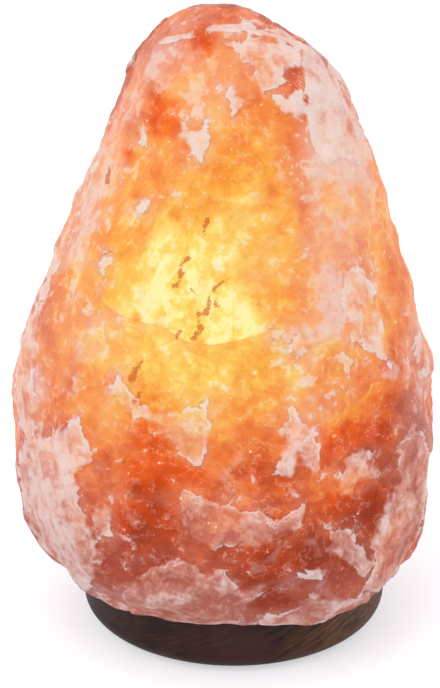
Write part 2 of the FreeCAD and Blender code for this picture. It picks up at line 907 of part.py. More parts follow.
def build_holder_cap():
    """Bottom cover: a flange that stops under the wood, a cup for the wiring and a side outlet."""
    body = node("holder_cap")
    cup_top = SHOULDER - S.flange_thickness
    inner = S.cup_radius - S.cup_wall
    turned(
        body,
        "cap_shell",
        [
            (S.cap_throat_radius, SHOULDER),
            (S.cap_throat_radius, cup_top),
            (inner, cup_top),
            (inner, CUP_FLOOR + S.cup_wall),
            (ZERO, CUP_FLOOR + S.cup_wall),
            (ZERO, CUP_FLOOR),
            (S.cup_radius, CUP_FLOOR),
            (S.cup_radius, cup_top),
            (S.flange_radius - S.flange_round, cup_top),
            (S.flange_radius, cup_top + S.flange_round),
            (S.flange_radius, SHOULDER),
        ],
    )
    centre = CUP_FLOOR + S.cup_wall + S.outlet_lift + S.outlet_bore_radius
    root_reach = S.cup_radius - S.cup_wall / 2
    nozzle = sketch_on(body, "outlet_section", "XZ_Plane", offset=-root_reach)
    ring(nozzle, ZERO, centre, S.outlet_radius)
    extruded(body, "outlet", nozzle, S.outlet_reach - root_reach, back=True)
    near = inner - S.outlet_bore_radius
    bore = sketch_on(body, "outlet_bore_section", "XZ_Plane", offset=-near)
    ring(bore, ZERO, centre, S.outlet_bore_radius)
    extruded(body, "outlet_bore", bore, S.outlet_reach, cut=True)
    pillars = sketch_on(body, "pillar_section", offset=CUP_FLOOR)
    for x, y in boss_centres():
        ring(pillars, x, y, S.pillar_radius)
    extruded(body, "pillars", pillars, S.cup_depth + S.flange_thickness)
    holes = sketch_on(body, "pillar_hole_section", offset=CUP_FLOOR)
    sinks = sketch_on(body, "pillar_sink_section", offset=CUP_FLOOR)
    for x, y in boss_centres():
        ring(holes, x, y, S.cap_screw_radius + S.cap_screw_gap)
        ring(sinks, x, y, S.cap_screw_head_radius + S.cap_screw_gap)
    depth = S.cup_depth + S.flange_thickness
    extruded(body, "pillar_holes", holes, depth, cut=True, back=True)
    extruded(body, "pillar_sinks", sinks, S.cap_screw_head_height, cut=True, back=True)


def build_cap_screws():
    """Two machine screws that hold the cap to the holder."""
    body = node("cap_screws")
    heads = sketch_on(body, "head_section", offset=CUP_FLOOR)
    shanks = sketch_on(body, "shank_section", offset=CUP_FLOOR)
    for x, y in boss_centres():
        ring(heads, x, y, S.cap_screw_head_radius)
        ring(shanks, x, y, S.cap_screw_radius)
    head_height = S.cap_screw_head_height - S.cap_screw_gap
    extruded(body, "heads", heads, head_height)
    extruded(body, "shanks", shanks, S.cap_screw_length)
    slots = sketch_on(body, "slot_section", offset=CUP_FLOOR)
    half = S.cap_screw_slot_width / 2
    reach = S.cap_screw_head_radius + S.cap_screw_gap
    for x, y in boss_centres():
        rectangle(slots, x - reach, x + reach, y - half, y + half)
    extruded(body, "slots", slots, S.cap_screw_slot_depth, cut=True, back=True)


def build_screw_shell():
    """Threaded brass sleeve that the bulb screws into."""
    body = node("screw_shell")
    turned(
        body,
        "sleeve",
        [
            (S.shell_floor_bore_radius, SHELL_FLOOR),
            (SHELL_OUTER, SHELL_FLOOR),
            (SHELL_OUTER, SHELL_FLOOR + S.shell_length),
            (SHELL_INNER, SHELL_FLOOR + S.shell_length),
            (SHELL_INNER, SHELL_FLOOR + S.shell_floor_thickness),
            (S.shell_floor_bore_radius, SHELL_FLOOR + S.shell_floor_thickness),
        ],
    )
    tip = S.thread_root_radius + S.thread_gap
    screw_thread(
        body,
        "inner_thread",
        [
            (SHELL_INNER + S.thread_sink, -S.thread_root_width / 2),
            (SHELL_INNER + S.thread_sink, S.thread_root_width / 2),
            (SHELL_INNER, S.thread_root_width / 2),
            (tip, S.thread_crest_width / 2),
            (tip, -S.thread_crest_width / 2),
            (SHELL_INNER, -S.thread_root_width / 2),
        ],
        S.shell_thread_length,
        CAP_FLOOR + S.cap_thread_start - S.thread_pitch / 2,
    )


def build_contacts():
    """The spring strips that feed the bulb's button and the screw shell, with their screws."""
    seat = WEB_TOP + S.strip_seat_gap
    top = seat + S.strip_thickness
    foot = WEB_FLOOR - S.strip_drop
    thick = S.strip_thickness / 2
    screw_height = WEB_FLOOR - S.terminal_screw_drop
    centre = node("centre_contact")
    profile = sketch_on(centre, "strip_section", "XZ_Plane")
    leg = -S.centre_strip_reach
    outline(
        profile,
        [
            (leg - thick, foot),
            (leg + thick, foot),
            (leg + thick, seat),
            (S.centre_tongue_radius, seat),
            (S.centre_tongue_radius, top),
            (leg - thick, top),
        ],
    )
    extruded(centre, "strip", profile, S.strip_width, both=True)
    dimple = sketch_on(centre, "tongue_section", offset=seat)
    ring(dimple, ZERO, ZERO, S.centre_tongue_radius)
    extruded(centre, "tongue", dimple, TONGUE_TOP - seat)
    terminal_hole(centre, screw_height, leg)
    side = node("side_contact_strip")
    profile = sketch_on(side, "strip_section", "XZ_Plane")
    leg = S.side_strip_reach
    toe = leg + S.side_strip_toe
    reach_up = SHELL_FLOOR - S.strip_seat_gap
    outline(
        profile,
        [
            (leg - thick, foot),
            (leg + thick, foot),
            (leg + thick, seat),
            (toe, seat),
            (toe, reach_up),
            (leg - thick, reach_up),
        ],
    )
    extruded(side, "strip", profile, S.strip_width, both=True)
    terminal_hole(side, screw_height, leg)
    build_terminal_screws(screw_height)


def terminal_hole(body, height, leg):
    """Drill a strip's leg for its terminal screw."""
    sketch = sketch_on(body, "terminal_hole_section", "YZ_Plane", offset=leg)
    ring(sketch, ZERO, height, S.terminal_screw_radius + S.terminal_gap)
    extruded(body, "terminal_hole", sketch, S.strip_thickness + S.terminal_gap, cut=True, both=True)


def build_terminal_screws(height):
    """One screw for each strip, its head towards the middle of the chamber."""
    body = node("terminal_screws")
    thick = S.strip_thickness / 2
    for side, reach in ((-1, S.centre_strip_reach), (1, S.side_strip_reach)):
        label = "left" if side < 0 else "right"
        seat = reach - thick - S.terminal_gap
        head = sketch_on(body, f"{label}_head_section", "YZ_Plane", offset=seat * side)
        ring(head, ZERO, height, S.terminal_head_radius)
        extruded(body, f"{label}_head", head, S.terminal_head_height, back=side > 0)
        shank = sketch_on(body, f"{label}_shank_section", "YZ_Plane", offset=seat * side)
        ring(shank, ZERO, height, S.terminal_screw_radius)
        extruded(body, f"{label}_shank", shank, S.terminal_screw_length, back=side < 0)


# ---------------------------------------------------------------- the spring clip


def ear_inner():
    """Return how far from the middle plane the inner faces of the ears stand."""
    return S.wing_width / 2 + S.wing_ear_gap


def build_clip_band():
    """Steel band around the holder with a pair of ears on each side."""
    body = node("clip_band")
    floor = PIVOT_HEIGHT - S.band_width / 2
    inner = S.holder_radius + S.band_seat_gap
    outer = inner + S.band_wall
    bands = sketch_on(body, "ear_block_section", offset=floor)
    near, far = ear_inner(), ear_inner() + S.ear_thickness
    for low, high in ((near, far), (-far, -near)):
        rectangle(bands, -S.ear_reach, S.ear_reach, low, high)
    extruded(body, "ear_blocks", bands, S.band_width)
    hoop = sketch_on(body, "hoop_section", offset=floor)
    ring(hoop, ZERO, ZERO, outer)
    extruded(body, "hoop", hoop, S.band_width)
    bore = sketch_on(body, "hoop_bore_section", offset=floor)
    ring(bore, ZERO, ZERO, inner)
    extruded(body, "hoop_bore", bore, S.band_width, cut=True, back=True)
    holes = sketch_on(body, "rivet_hole_section", "XZ_Plane")
    for side in (-1, 1):
        ring(holes, S.wing_pivot_reach * side, PIVOT_HEIGHT, S.rivet_radius + S.rivet_ear_gap)
    extruded(body, "rivet_holes", holes, far * 2 + S.ear_thickness, cut=True, both=True)


def build_clip_rivets():
    """One headed pin through each pair of ears."""
    body = node("clip_rivets")
    outer = ear_inner() + S.ear_thickness + S.rivet_ear_gap
    pins = sketch_on(body, "pin_section", "XZ_Plane")
    for side in (-1, 1):
        ring(pins, S.wing_pivot_reach * side, PIVOT_HEIGHT, S.rivet_radius)
    extruded(body, "pins", pins, outer * 2, both=True)
    for label, place, back in (("front", outer, False), ("rear", -outer, True)):
        heads = sketch_on(body, f"{label}_head_section", "XZ_Plane", offset=place)
        for side in (-1, 1):
            ring(heads, S.wing_pivot_reach * side, PIVOT_HEIGHT, S.rivet_head_radius)
        extruded(body, f"{label}_heads", heads, S.rivet_head_height, back=back)


def build_clip_wings():
    """Two spring wings that bear on the bore of the wooden base."""
    half = S.wing_width / 2
    free = S.base_bore_radius - S.wing_bore_gap
    pad = root(free * free - half * half)
    toe = SHOULDER + S.wing_toe_gap
    pad_floor = toe + S.wing_toe_height
    pad_top = pad_floor + S.wing_pad_height
    thick = S.wing_thickness
    pivot = S.wing_pivot_reach
    for side, name in ((-1, "clip_wing_left"), (1, "clip_wing_right")):
        body = node(name)
        profile = sketch_on(body, "wing_section", "XZ_Plane")
        corners = [
            (pivot + thick / 2, PIVOT_HEIGHT),
            (pivot - thick / 2, PIVOT_HEIGHT),
            (pad - thick, pad_top),
            (pad - thick, pad_floor),
            (pad - thick - S.wing_toe_height, toe),
            (pad - S.wing_toe_height, toe),
            (pad, pad_floor),
            (pad, pad_top),
        ]
        outline(profile, [(x * side, z) for x, z in corners])
        extruded(body, "blade", profile, S.wing_width, both=True)
        eye = sketch_on(body, "eye_section", "XZ_Plane")
        ring(eye, pivot * side, PIVOT_HEIGHT, S.wing_eye_radius)
        extruded(body, "eye", eye, S.wing_width, both=True)
        hole = sketch_on(body, "eye_hole_section", "XZ_Plane")
        ring(hole, pivot * side, PIVOT_HEIGHT, S.rivet_radius + S.wing_pin_gap)
        extruded(body, "eye_hole", hole, S.wing_width + S.wing_thickness, cut=True, both=True)


# ---------------------------------------------------------------- the bulb


def build_bulb_cap():
    """Thin threaded cap with a plain rim."""
    body = node("bulb_cap")
    rim_floor = CAP_TOP - S.cap_rim_height
    turned(
        body,
        "cap_tube",
        [
            (CAP_INNER, CAP_FLOOR),
            (S.thread_root_radius, CAP_FLOOR),
            (S.thread_root_radius, rim_floor),
            (S.cap_rim_radius, rim_floor + S.cap_wall),
            (S.cap_rim_radius, CAP_TOP),
            (CAP_INNER, CAP_TOP),
        ],
    )
    inside = S.thread_root_radius - S.thread_sink
    screw_thread(
        body,
        "outer_thread",
        [
            (inside, -S.thread_root_width / 2),
            (S.thread_root_radius, -S.thread_root_width / 2),
            (S.thread_crest_radius, -S.thread_crest_width / 2),
            (S.thread_crest_radius, S.thread_crest_width / 2),
            (S.thread_root_radius, S.thread_root_width / 2),
            (inside, S.thread_root_width / 2),
        ],
        S.cap_thread_length,
        CAP_FLOOR + S.cap_thread_start,
    )


def build_bulb_foot():
    """The insulator under the cap and the contact button set in it."""
    insulator = node("bulb_cap_insulator")
    foot = CAP_FLOOR - S.insulator_height
    bore = S.button_radius + S.insulator_bore_gap
    turned(
        insulator,
        "insulator",
        [
            (ZERO, foot + S.button_sunk),
            (bore, foot + S.button_sunk),
            (bore, foot),
            (S.insulator_foot_radius, foot),
            (S.thread_root_radius, CAP_FLOOR),
            (CAP_INNER - S.insulator_bore_gap, CAP_FLOOR),
            (CAP_INNER - S.insulator_bore_gap, CAP_FLOOR + S.cap_thread_start),
            (ZERO, CAP_FLOOR + S.cap_thread_start),
        ],
    )
    button = node("bulb_contact_button")
    top = foot + S.button_sunk - S.insulator_bore_gap
    turned(
        button,
        "button",
        [
            (ZERO, BUTTON_FLOOR),
            (S.button_radius * 0.6, BUTTON_FLOOR),
            (S.button_radius, BUTTON_FLOOR + S.button_height * 0.5),
            (S.button_radius, top),
            (ZERO, top),
        ],
    )


def build_bulb_envelope():
    """Thin-walled glass tube with a domed end and a drawn-in neck."""
    body = node("bulb_envelope")
    wall = S.glass_wall
    neck_top = CAP_TOP + S.glass_neck_rise
    flare_top = neck_top + S.glass_flare_height
    dome = GLASS_TOP - S.glass_radius
    turned(
        body,
        "glass",
        [
            (NECK_RADIUS - wall, NECK_FLOOR),
            (NECK_RADIUS, NECK_FLOOR),
            (NECK_RADIUS, neck_top),
            (S.glass_radius, flare_top),
            (S.glass_radius, dome, ZERO, 1),
            (ZERO, GLASS_TOP),
            (ZERO, GLASS_TOP - wall, ZERO, -1),
            (S.glass_radius - wall, dome),
            (S.glass_radius - wall, flare_top),
            (NECK_RADIUS - wall, neck_top),
        ],
    )


def stem_floor():
    """Return the height of the foot of the glass stem."""
    return NECK_FLOOR + S.glass_wall


def build_bulb_stem():
    """Glass stem that carries the lead wires."""
    body = node("bulb_stem")
    foot = stem_floor()
    flare = NECK_RADIUS - S.glass_wall - S.stem_seat_gap
    turned(
        body,
        "stem",
        [
            (ZERO, foot),
            (flare, foot),
            (flare, foot + S.glass_wall),
            (S.stem_radius, foot + S.stem_flare_height),
            (S.stem_radius, foot + S.stem_length),
            (ZERO, foot + S.stem_length),
        ],
    )


def build_lead_wires_and_filament():
    """Two lead wires up beside the stem, and the coiled filament between their ends."""
    leads = node("bulb_lead_wires")
    foot = stem_floor() + S.stem_flare_height
    bend = foot + S.stem_length - S.stem_flare_height
    top = bend + S.lead_height
    for side, label in ((-1, "left"), (1, "right")):
        low = (S.stem_radius + S.lead_stem_gap + S.lead_radius) * side
        high = S.lead_spread * side
        path = sketch_on(leads, f"{label}_path", "XZ_Plane")
        points = [(low, foot), (low, bend), (high, top)]
        for k in range(2):
            start, end = points[k], points[k + 1]
            path.addGeometry(
                Part.LineSegment(
                    V(start[0].value, start[1].value, 0), V(end[0].value, end[1].value, 0)
                )
            )
            bind(path, "DistanceX", k, 1, start[0])
            bind(path, "DistanceY", k, 1, start[1])
        path.addConstraint(Sketcher.Constraint("Coincident", 0, 2, 1, 1))
        bind(path, "DistanceX", 1, 2, high)
        bind(path, "DistanceY", 1, 2, top)
        section = sketch_on(leads, f"{label}_wire_section", offset=foot)
        ring(section, low, ZERO, S.lead_radius)
        pipe = leads.newObject("PartDesign::AdditivePipe", f"{label}_lead")
        pipe.Profile = section
        pipe.Spine = (path, ["Edge1", "Edge2"])
        pipe.Transition = "Right corner"
    filament = node("bulb_filament")
    reach = S.lead_spread - S.lead_radius - S.filament_wire_radius - S.filament_gap
    section = sketch_on(filament, "wire_section", "XZ_Plane")
    ring(section, -reach, top + S.filament_coil_radius, S.filament_wire_radius)
    axis = section.addGeometry(
        Part.LineSegment(V(-reach.value, top.value, 0), V(reach.value, top.value, 0)), True
    )
    for vertex, x in ((1, -reach), (2, reach)):
        bind(section, "DistanceX", axis, vertex, x)
        bind(section, "DistanceY", axis, vertex, top)
    coil = filament.newObject("PartDesign::AdditiveHelix", "coil")
    coil.Profile = section
    coil.ReferenceAxis = (section, ["Axis0"])
    coil.Mode = 0
    coil.setExpression("Pitch", S.filament_pitch.text)
    coil.setExpression("Height", (reach * 2).text)


# ---------------------------------------------------------------- the whole lamp


def build():
    """Build every sub-part."""
    build_wood_base()
    build_rubber_feet()
    build_base_screws()
    build_wall_plugs()
    build_salt_crystal()
    build_holder_body()
    build_holder_cap()
    build_cap_screws()
    build_screw_shell()
    build_contacts()
    build_clip_band()
    build_clip_rivets()
    build_clip_wings()
    build_bulb_cap()
    build_bulb_foot()
    build_bulb_envelope()
    build_bulb_stem()
    build_lead_wires_and_filament()
    for item in NODES.values():
        item.setExpression("Placement.Base.x", AXIS_X.text)
        item.setExpression("Placement.Base.y", AXIS_Y.text)
    DOC.recompute()


def check():
    """Raise if any object failed or any sub-part is empty or invalid."""
    for item in DOC.Objects:
        if {"Invalid", "Error"} & set(item.State):
            raise RuntimeError(f"{item.Label} failed: {item.State}")
    for name, item in NODES.items():
        if item.Shape.isNull() or not item.Shape.isValid():
            raise RuntimeError(f"{name} has no valid shape")


def check_cuts():
    """Raise if a cut took nothing away."""
    for item in DOC.Objects:
        if item.TypeId in ("PartDesign::Pocket", "PartDesign::Groove"):
            before = item.BaseFeature.Shape.Volume
            if before - item.Shape.Volume < 1e-3:
                raise RuntimeError(f"{item.Label} cut nothing")


def export():
    """Write one STEP file for each sub-part."""
    os.makedirs("parts", exist_ok=True)
    for name, item in NODES.items():
        item.Shape.exportStep(f"parts/{name}.step")


build()
check()
check_cuts()
export()
for name, item in NODES.items():
    print(f"{name}: {item.Shape.Volume:.1f} mm3 in {len(item.Shape.Solids)} solids")
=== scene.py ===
"""Salt crystal lamp: the looks of its rock, wooden base, lamp holder, spring clip and bulb.

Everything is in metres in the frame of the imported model. Places on the front of the rock are
written as (across, up) in millimetres: across along X, up along Z.
"""

import logging
import math
from collections.abc import Callable, Mapping, Sequence
from dataclasses import dataclass
from functools import partial
from typing import Protocol

import bmesh
import bpy
import numpy as np
from mathutils import Matrix, Vector, noise


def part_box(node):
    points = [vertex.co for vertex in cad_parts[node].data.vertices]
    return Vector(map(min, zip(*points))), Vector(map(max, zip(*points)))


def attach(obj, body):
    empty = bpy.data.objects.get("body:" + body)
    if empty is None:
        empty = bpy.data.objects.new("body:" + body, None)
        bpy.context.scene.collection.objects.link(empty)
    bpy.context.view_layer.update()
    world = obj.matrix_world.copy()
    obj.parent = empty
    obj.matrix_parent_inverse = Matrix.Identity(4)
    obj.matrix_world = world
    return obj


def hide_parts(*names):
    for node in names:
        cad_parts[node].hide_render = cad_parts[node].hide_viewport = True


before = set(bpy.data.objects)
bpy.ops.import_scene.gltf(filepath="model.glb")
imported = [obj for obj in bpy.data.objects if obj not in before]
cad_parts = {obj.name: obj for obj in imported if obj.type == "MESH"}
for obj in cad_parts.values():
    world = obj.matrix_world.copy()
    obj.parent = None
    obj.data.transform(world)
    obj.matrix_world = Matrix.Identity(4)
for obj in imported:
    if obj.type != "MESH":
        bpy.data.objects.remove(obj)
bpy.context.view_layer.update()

LOG = logging.getLogger("salt_lamp")
MM = 0.001

# Sockets of the colour Mix node, whose names are shared by its number and colour forms.
MIX_FACTOR, MIX_A, MIX_B, MIX_RESULT = 0, 6, 7, 2

# Kinds of node that come up often, and their settings.
MATH, VECTOR, RANGE = "ShaderNodeMath", "ShaderNodeVectorMath", "ShaderNodeMapRange"
MIX, MAPPING, BUMP = "ShaderNodeMix", "ShaderNodeMapping", "ShaderNodeBump"
NOISE, VORONOI = "ShaderNodeTexNoise", "ShaderNodeTexVoronoi"
PRINCIPLED, OUTPUT = "ShaderNodeBsdfPrincipled", "ShaderNodeOutputMaterial"
ADD, SUBTRACT, MULTIPLY, MULTIPLY_ADD, MAXIMUM, ABSOLUTE, SCALE = (
    {"operation": name}
    for name in ("ADD", "SUBTRACT", "MULTIPLY", "MULTIPLY_ADD", "MAXIMUM", "ABSOLUTE", "SCALE")
)
SMOOTH = {"interpolation_type": "SMOOTHSTEP"}
COLOURS = {"data_type": "RGBA"}
TEXTURE = {"vector_type": "TEXTURE"}

Outline = Sequence[tuple[float, float]]
Source = bpy.types.Node | bpy.types.NodeSocket
Stops = tuple[tuple[float, str], ...]
Put = Callable[..., bpy.types.Node]

# Fields that the rock's mesh carries for its finish, each from 0 to 1 at every vertex.
FIELDS = (
    "glow", "crust", "white", "haze", "streaky", "ember", "window", "held", "speck", "ridge",
)


# ---------------------------------------------------------------- colours, nodes and meshes


def linear(code: str) -> tuple[float, float, float, float]:
    """Turns an sRGB hex colour into the linear values that a shader takes.

    Args:
        code: six hex digits, such as "F7C2A6".

    Returns:
        Linear red, green and blue, and an alpha of 1.
    """
    parts = []
    for start in (0, 2, 4):
        value = int(code[start:start + 2], 16) / 255.0
        parts.append(value / 12.92 if value <= 0.04045 else ((value + 0.055) / 1.055) ** 2.4)
    return (parts[0], parts[1], parts[2], 1.0)


def add_node(
    tree: bpy.types.NodeTree,
    kind: str,
    settings: Mapping[str, object] | None = None,
    inputs: Mapping[str | int, object] | None = None,
    stops: Stops = (),
) -> bpy.types.Node:
    """Adds one node to a tree, with its settings, its inputs and, on a ramp, its colours.

    Args:
        tree: the node tree that the node goes into.
        kind: Blender's name for the kind of node.
        settings: properties of the node.
        inputs: values by input name or number; a socket, or a node's first output, is
            linked, and anything else is set.
        stops: for a colour ramp, its places with their sRGB hex colours.

    Returns:
        The new node.
    """
    node = tree.nodes.new(kind)
    for name, value in (settings or {}).items():
        setattr(node, name, value)
    for name, value in (inputs or {}).items():
        if isinstance(value, bpy.types.Node):
            value = value.outputs[0]
        if isinstance(value, bpy.types.NodeSocket):
            tree.links.new(value, node.inputs[name])
        else:
            node.inputs[name].default_value = value
    if stops:
        elements = node.color_ramp.elements
        while len(elements) < len(stops):
            elements.new(1.0)
        for element, (place, code) in zip(elements, stops):
            element.position = place
            element.color = linear(code)
    return node


def blank_material(name: str) -> tuple[bpy.types.Material, Put]:
    """Makes an empty node material and returns it with what adds nodes to it."""
    material = bpy.data.materials.new(name)
    material.use_nodes = True
    material.node_tree.nodes.clear()
    return material, partial(add_node, material.node_tree)


def place_in_mm(put: Put) -> Source:
    """Adds the nodes that give the place on a piece in millimetres."""
    place = put("ShaderNodeTexCoord").outputs["Object"]
    return put(VECTOR, SCALE, {0: place, "Scale": 1.0 / MM})


def applied_mesh(piece: bpy.types.Object) -> bpy.types.Mesh:
    """Returns a new mesh that holds the piece with its modifiers applied."""
    depsgraph = bpy.context.evaluated_depsgraph_get()
    return bpy.data.meshes.new_from_object(piece.evaluated_get(depsgraph))


def linked_object(name: str, data: bpy.types.ID) -> bpy.types.Object:
    """Makes an object of a mesh or other data at the origin and links it to the scene."""
    piece = bpy.data.objects.new(name, data)
    bpy.context.scene.collection.objects.link(piece)
    return piece


def aimed_object(name: str, data: bpy.types.ID, place: Vector, aim: Vector) -> bpy.types.Object:
    """Makes an object of a camera or lamp, at a place and turned to the point aimed at."""
    piece = linked_object(name, data)
    piece.location = place
    piece.rotation_euler = (aim - place).to_track_quat("-Z", "Y").to_euler()
    return piece


def smoothstep(low: float, high: float, value: np.ndarray) -> np.ndarray:
    """Rises smoothly from 0 at low to 1 at high."""
    share = np.clip((value - low) / (high - low), 0.0, 1.0)
    return share * share * (3.0 - 2.0 * share)


def gap_to_path(across: np.ndarray, up: np.ndarray, path: Outline) -> np.ndarray:
    """How far points lie from an open line of straight runs.

    Args:
        across: the points' places along the line's first axis.
        up: the points' places along its second axis.
        path: the line's corners in order, in the same unit.

    Returns:
        The distance to the nearest run.
    """
    nearest = np.full(across.shape, np.inf)
    for (x0, z0), (x1, z1) in zip(path, path[1:]):
        run, rise = x1 - x0, z1 - z0
        share = ((across - x0) * run + (up - z0) * rise) / (run * run + rise * rise)
        share = np.clip(share, 0, 1)
        gap = np.hypot(across - x0 - share * run, up - z0 - share * rise)
        nearest = np.minimum(nearest, gap)
    return nearest


def depth_inside(across: np.ndarray, up: np.ndarray, outline: Outline) -> np.ndarray:
    """How deep points lie inside a closed outline.

    Args:
        across: the points' places along the outline's first axis.
        up: the points' places along its second axis.
        outline: the corners in order, in the same unit.

    Returns:
        The distance to the outline, positive inside and negative outside.
    """
    closed = (*outline, outline[0])
    inside = np.zeros(across.shape, bool)
    for (x0, z0), (x1, z1) in zip(closed, closed[1:]):
        if z0 != z1:
            crosses = (z0 > up) != (z1 > up)
            inside ^= crosses & (across < x0 + (x1 - x0) * (up - z0) / (z1 - z0))
    gap = gap_to_path(across, up, closed)
    return np.where(inside, gap, -gap)


# ---------------------------------------------------------------- finishes


@dataclass(frozen=True)
class Spot:
    """A soft oval spot on the front of the rock, in millimetres.

    amount is what it adds at its middle, and lean turns it, in degrees, from upright.
    """

    across: float
    up: float
    half_width: float
    half_height: float
    amount: float
    lean: float = 0.0

    def strength(self, across: np.ndarray, up: np.ndarray) -> np.ndarray:
        """The spot's share, from 0 outside to its amount in the middle, at each point."""
        turn = math.radians(self.lean)
        side = across - self.across
        rise = up - self.up
        along = (side * math.cos(turn) - rise * math.sin(turn)) / self.half_width
        height = (side * math.sin(turn) + rise * math.cos(turn)) / self.half_height
        return self.amount * np.exp(-(along * along + height * height))


def total(spots: Sequence[Spot], across: np.ndarray, up: np.ndarray) -> np.ndarray:
    """Adds up the spots' shares at each point."""
    return sum(spot.strength(across, up) for spot in spots)


@dataclass(frozen=True)
class SaltNodes:
    """What the steps of the rock's material share: how nodes are added, fields and patterns."""

    put: Put
    place: Source
    fields: Mapping[str, Source]
    patterns: Mapping[str, Source]

    def swung(self, base: Source, swings: Mapping[str, float]) -> Source:
        """Adds to a value its share of each pattern's swing about a half."""
        for name, share in swings.items():
            swing = self.put(
                MATH, MULTIPLY_ADD, {0: self.patterns[name], 1: share, 2: -0.5 * share},
            )
            base = self.put(MATH, ADD, {0: base, 1: swing})
        return base


# Patterns in the salt: the width of one swing in mm, then its detail, roughness and bend.
SALT_PATTERNS: dict[str, tuple[float, float, float, float]] = {
    "cloud": (13.0, 3.0, 0.5, 0.5),
    "flake": (5.0, 2.5, 0.5, 0.9),
    "lump": (3.5, 5.0, 0.62, 0.3),
    "grit": (1.0, 3.0, 0.65, 0.0),
}

# How far each pattern swings each value of the salt's finish.
SWINGS: dict[str, dict[str, float]] = {
    "glow": {"cloud": 0.34, "flake": 0.2, "fibre": 0.3, "lump": 0.08, "grit": 0.05, "chip": 0.1},
    "crust": {"flake": 0.85, "lump": 0.2, "grit": 0.04, "fibre": 0.15},
    "white": {"cloud": 1.3, "flake": 1.3, "fibre": 0.7, "lump": 0.4, "grit": 0.3, "chip": 0.3},
    "flakes": {"fibre": 0.7, "grit": 0.15, "cloud": 0.4},
    "haze": {"cloud": 0.5},
    "speck": {"lump": 1.5, "grit": 1.2, "fibre": 0.8},
    "relief": {"flake": 1.6, "lump": 1.2, "grit": 0.35, "fibre": 1.0, "chip": 0.3},
}


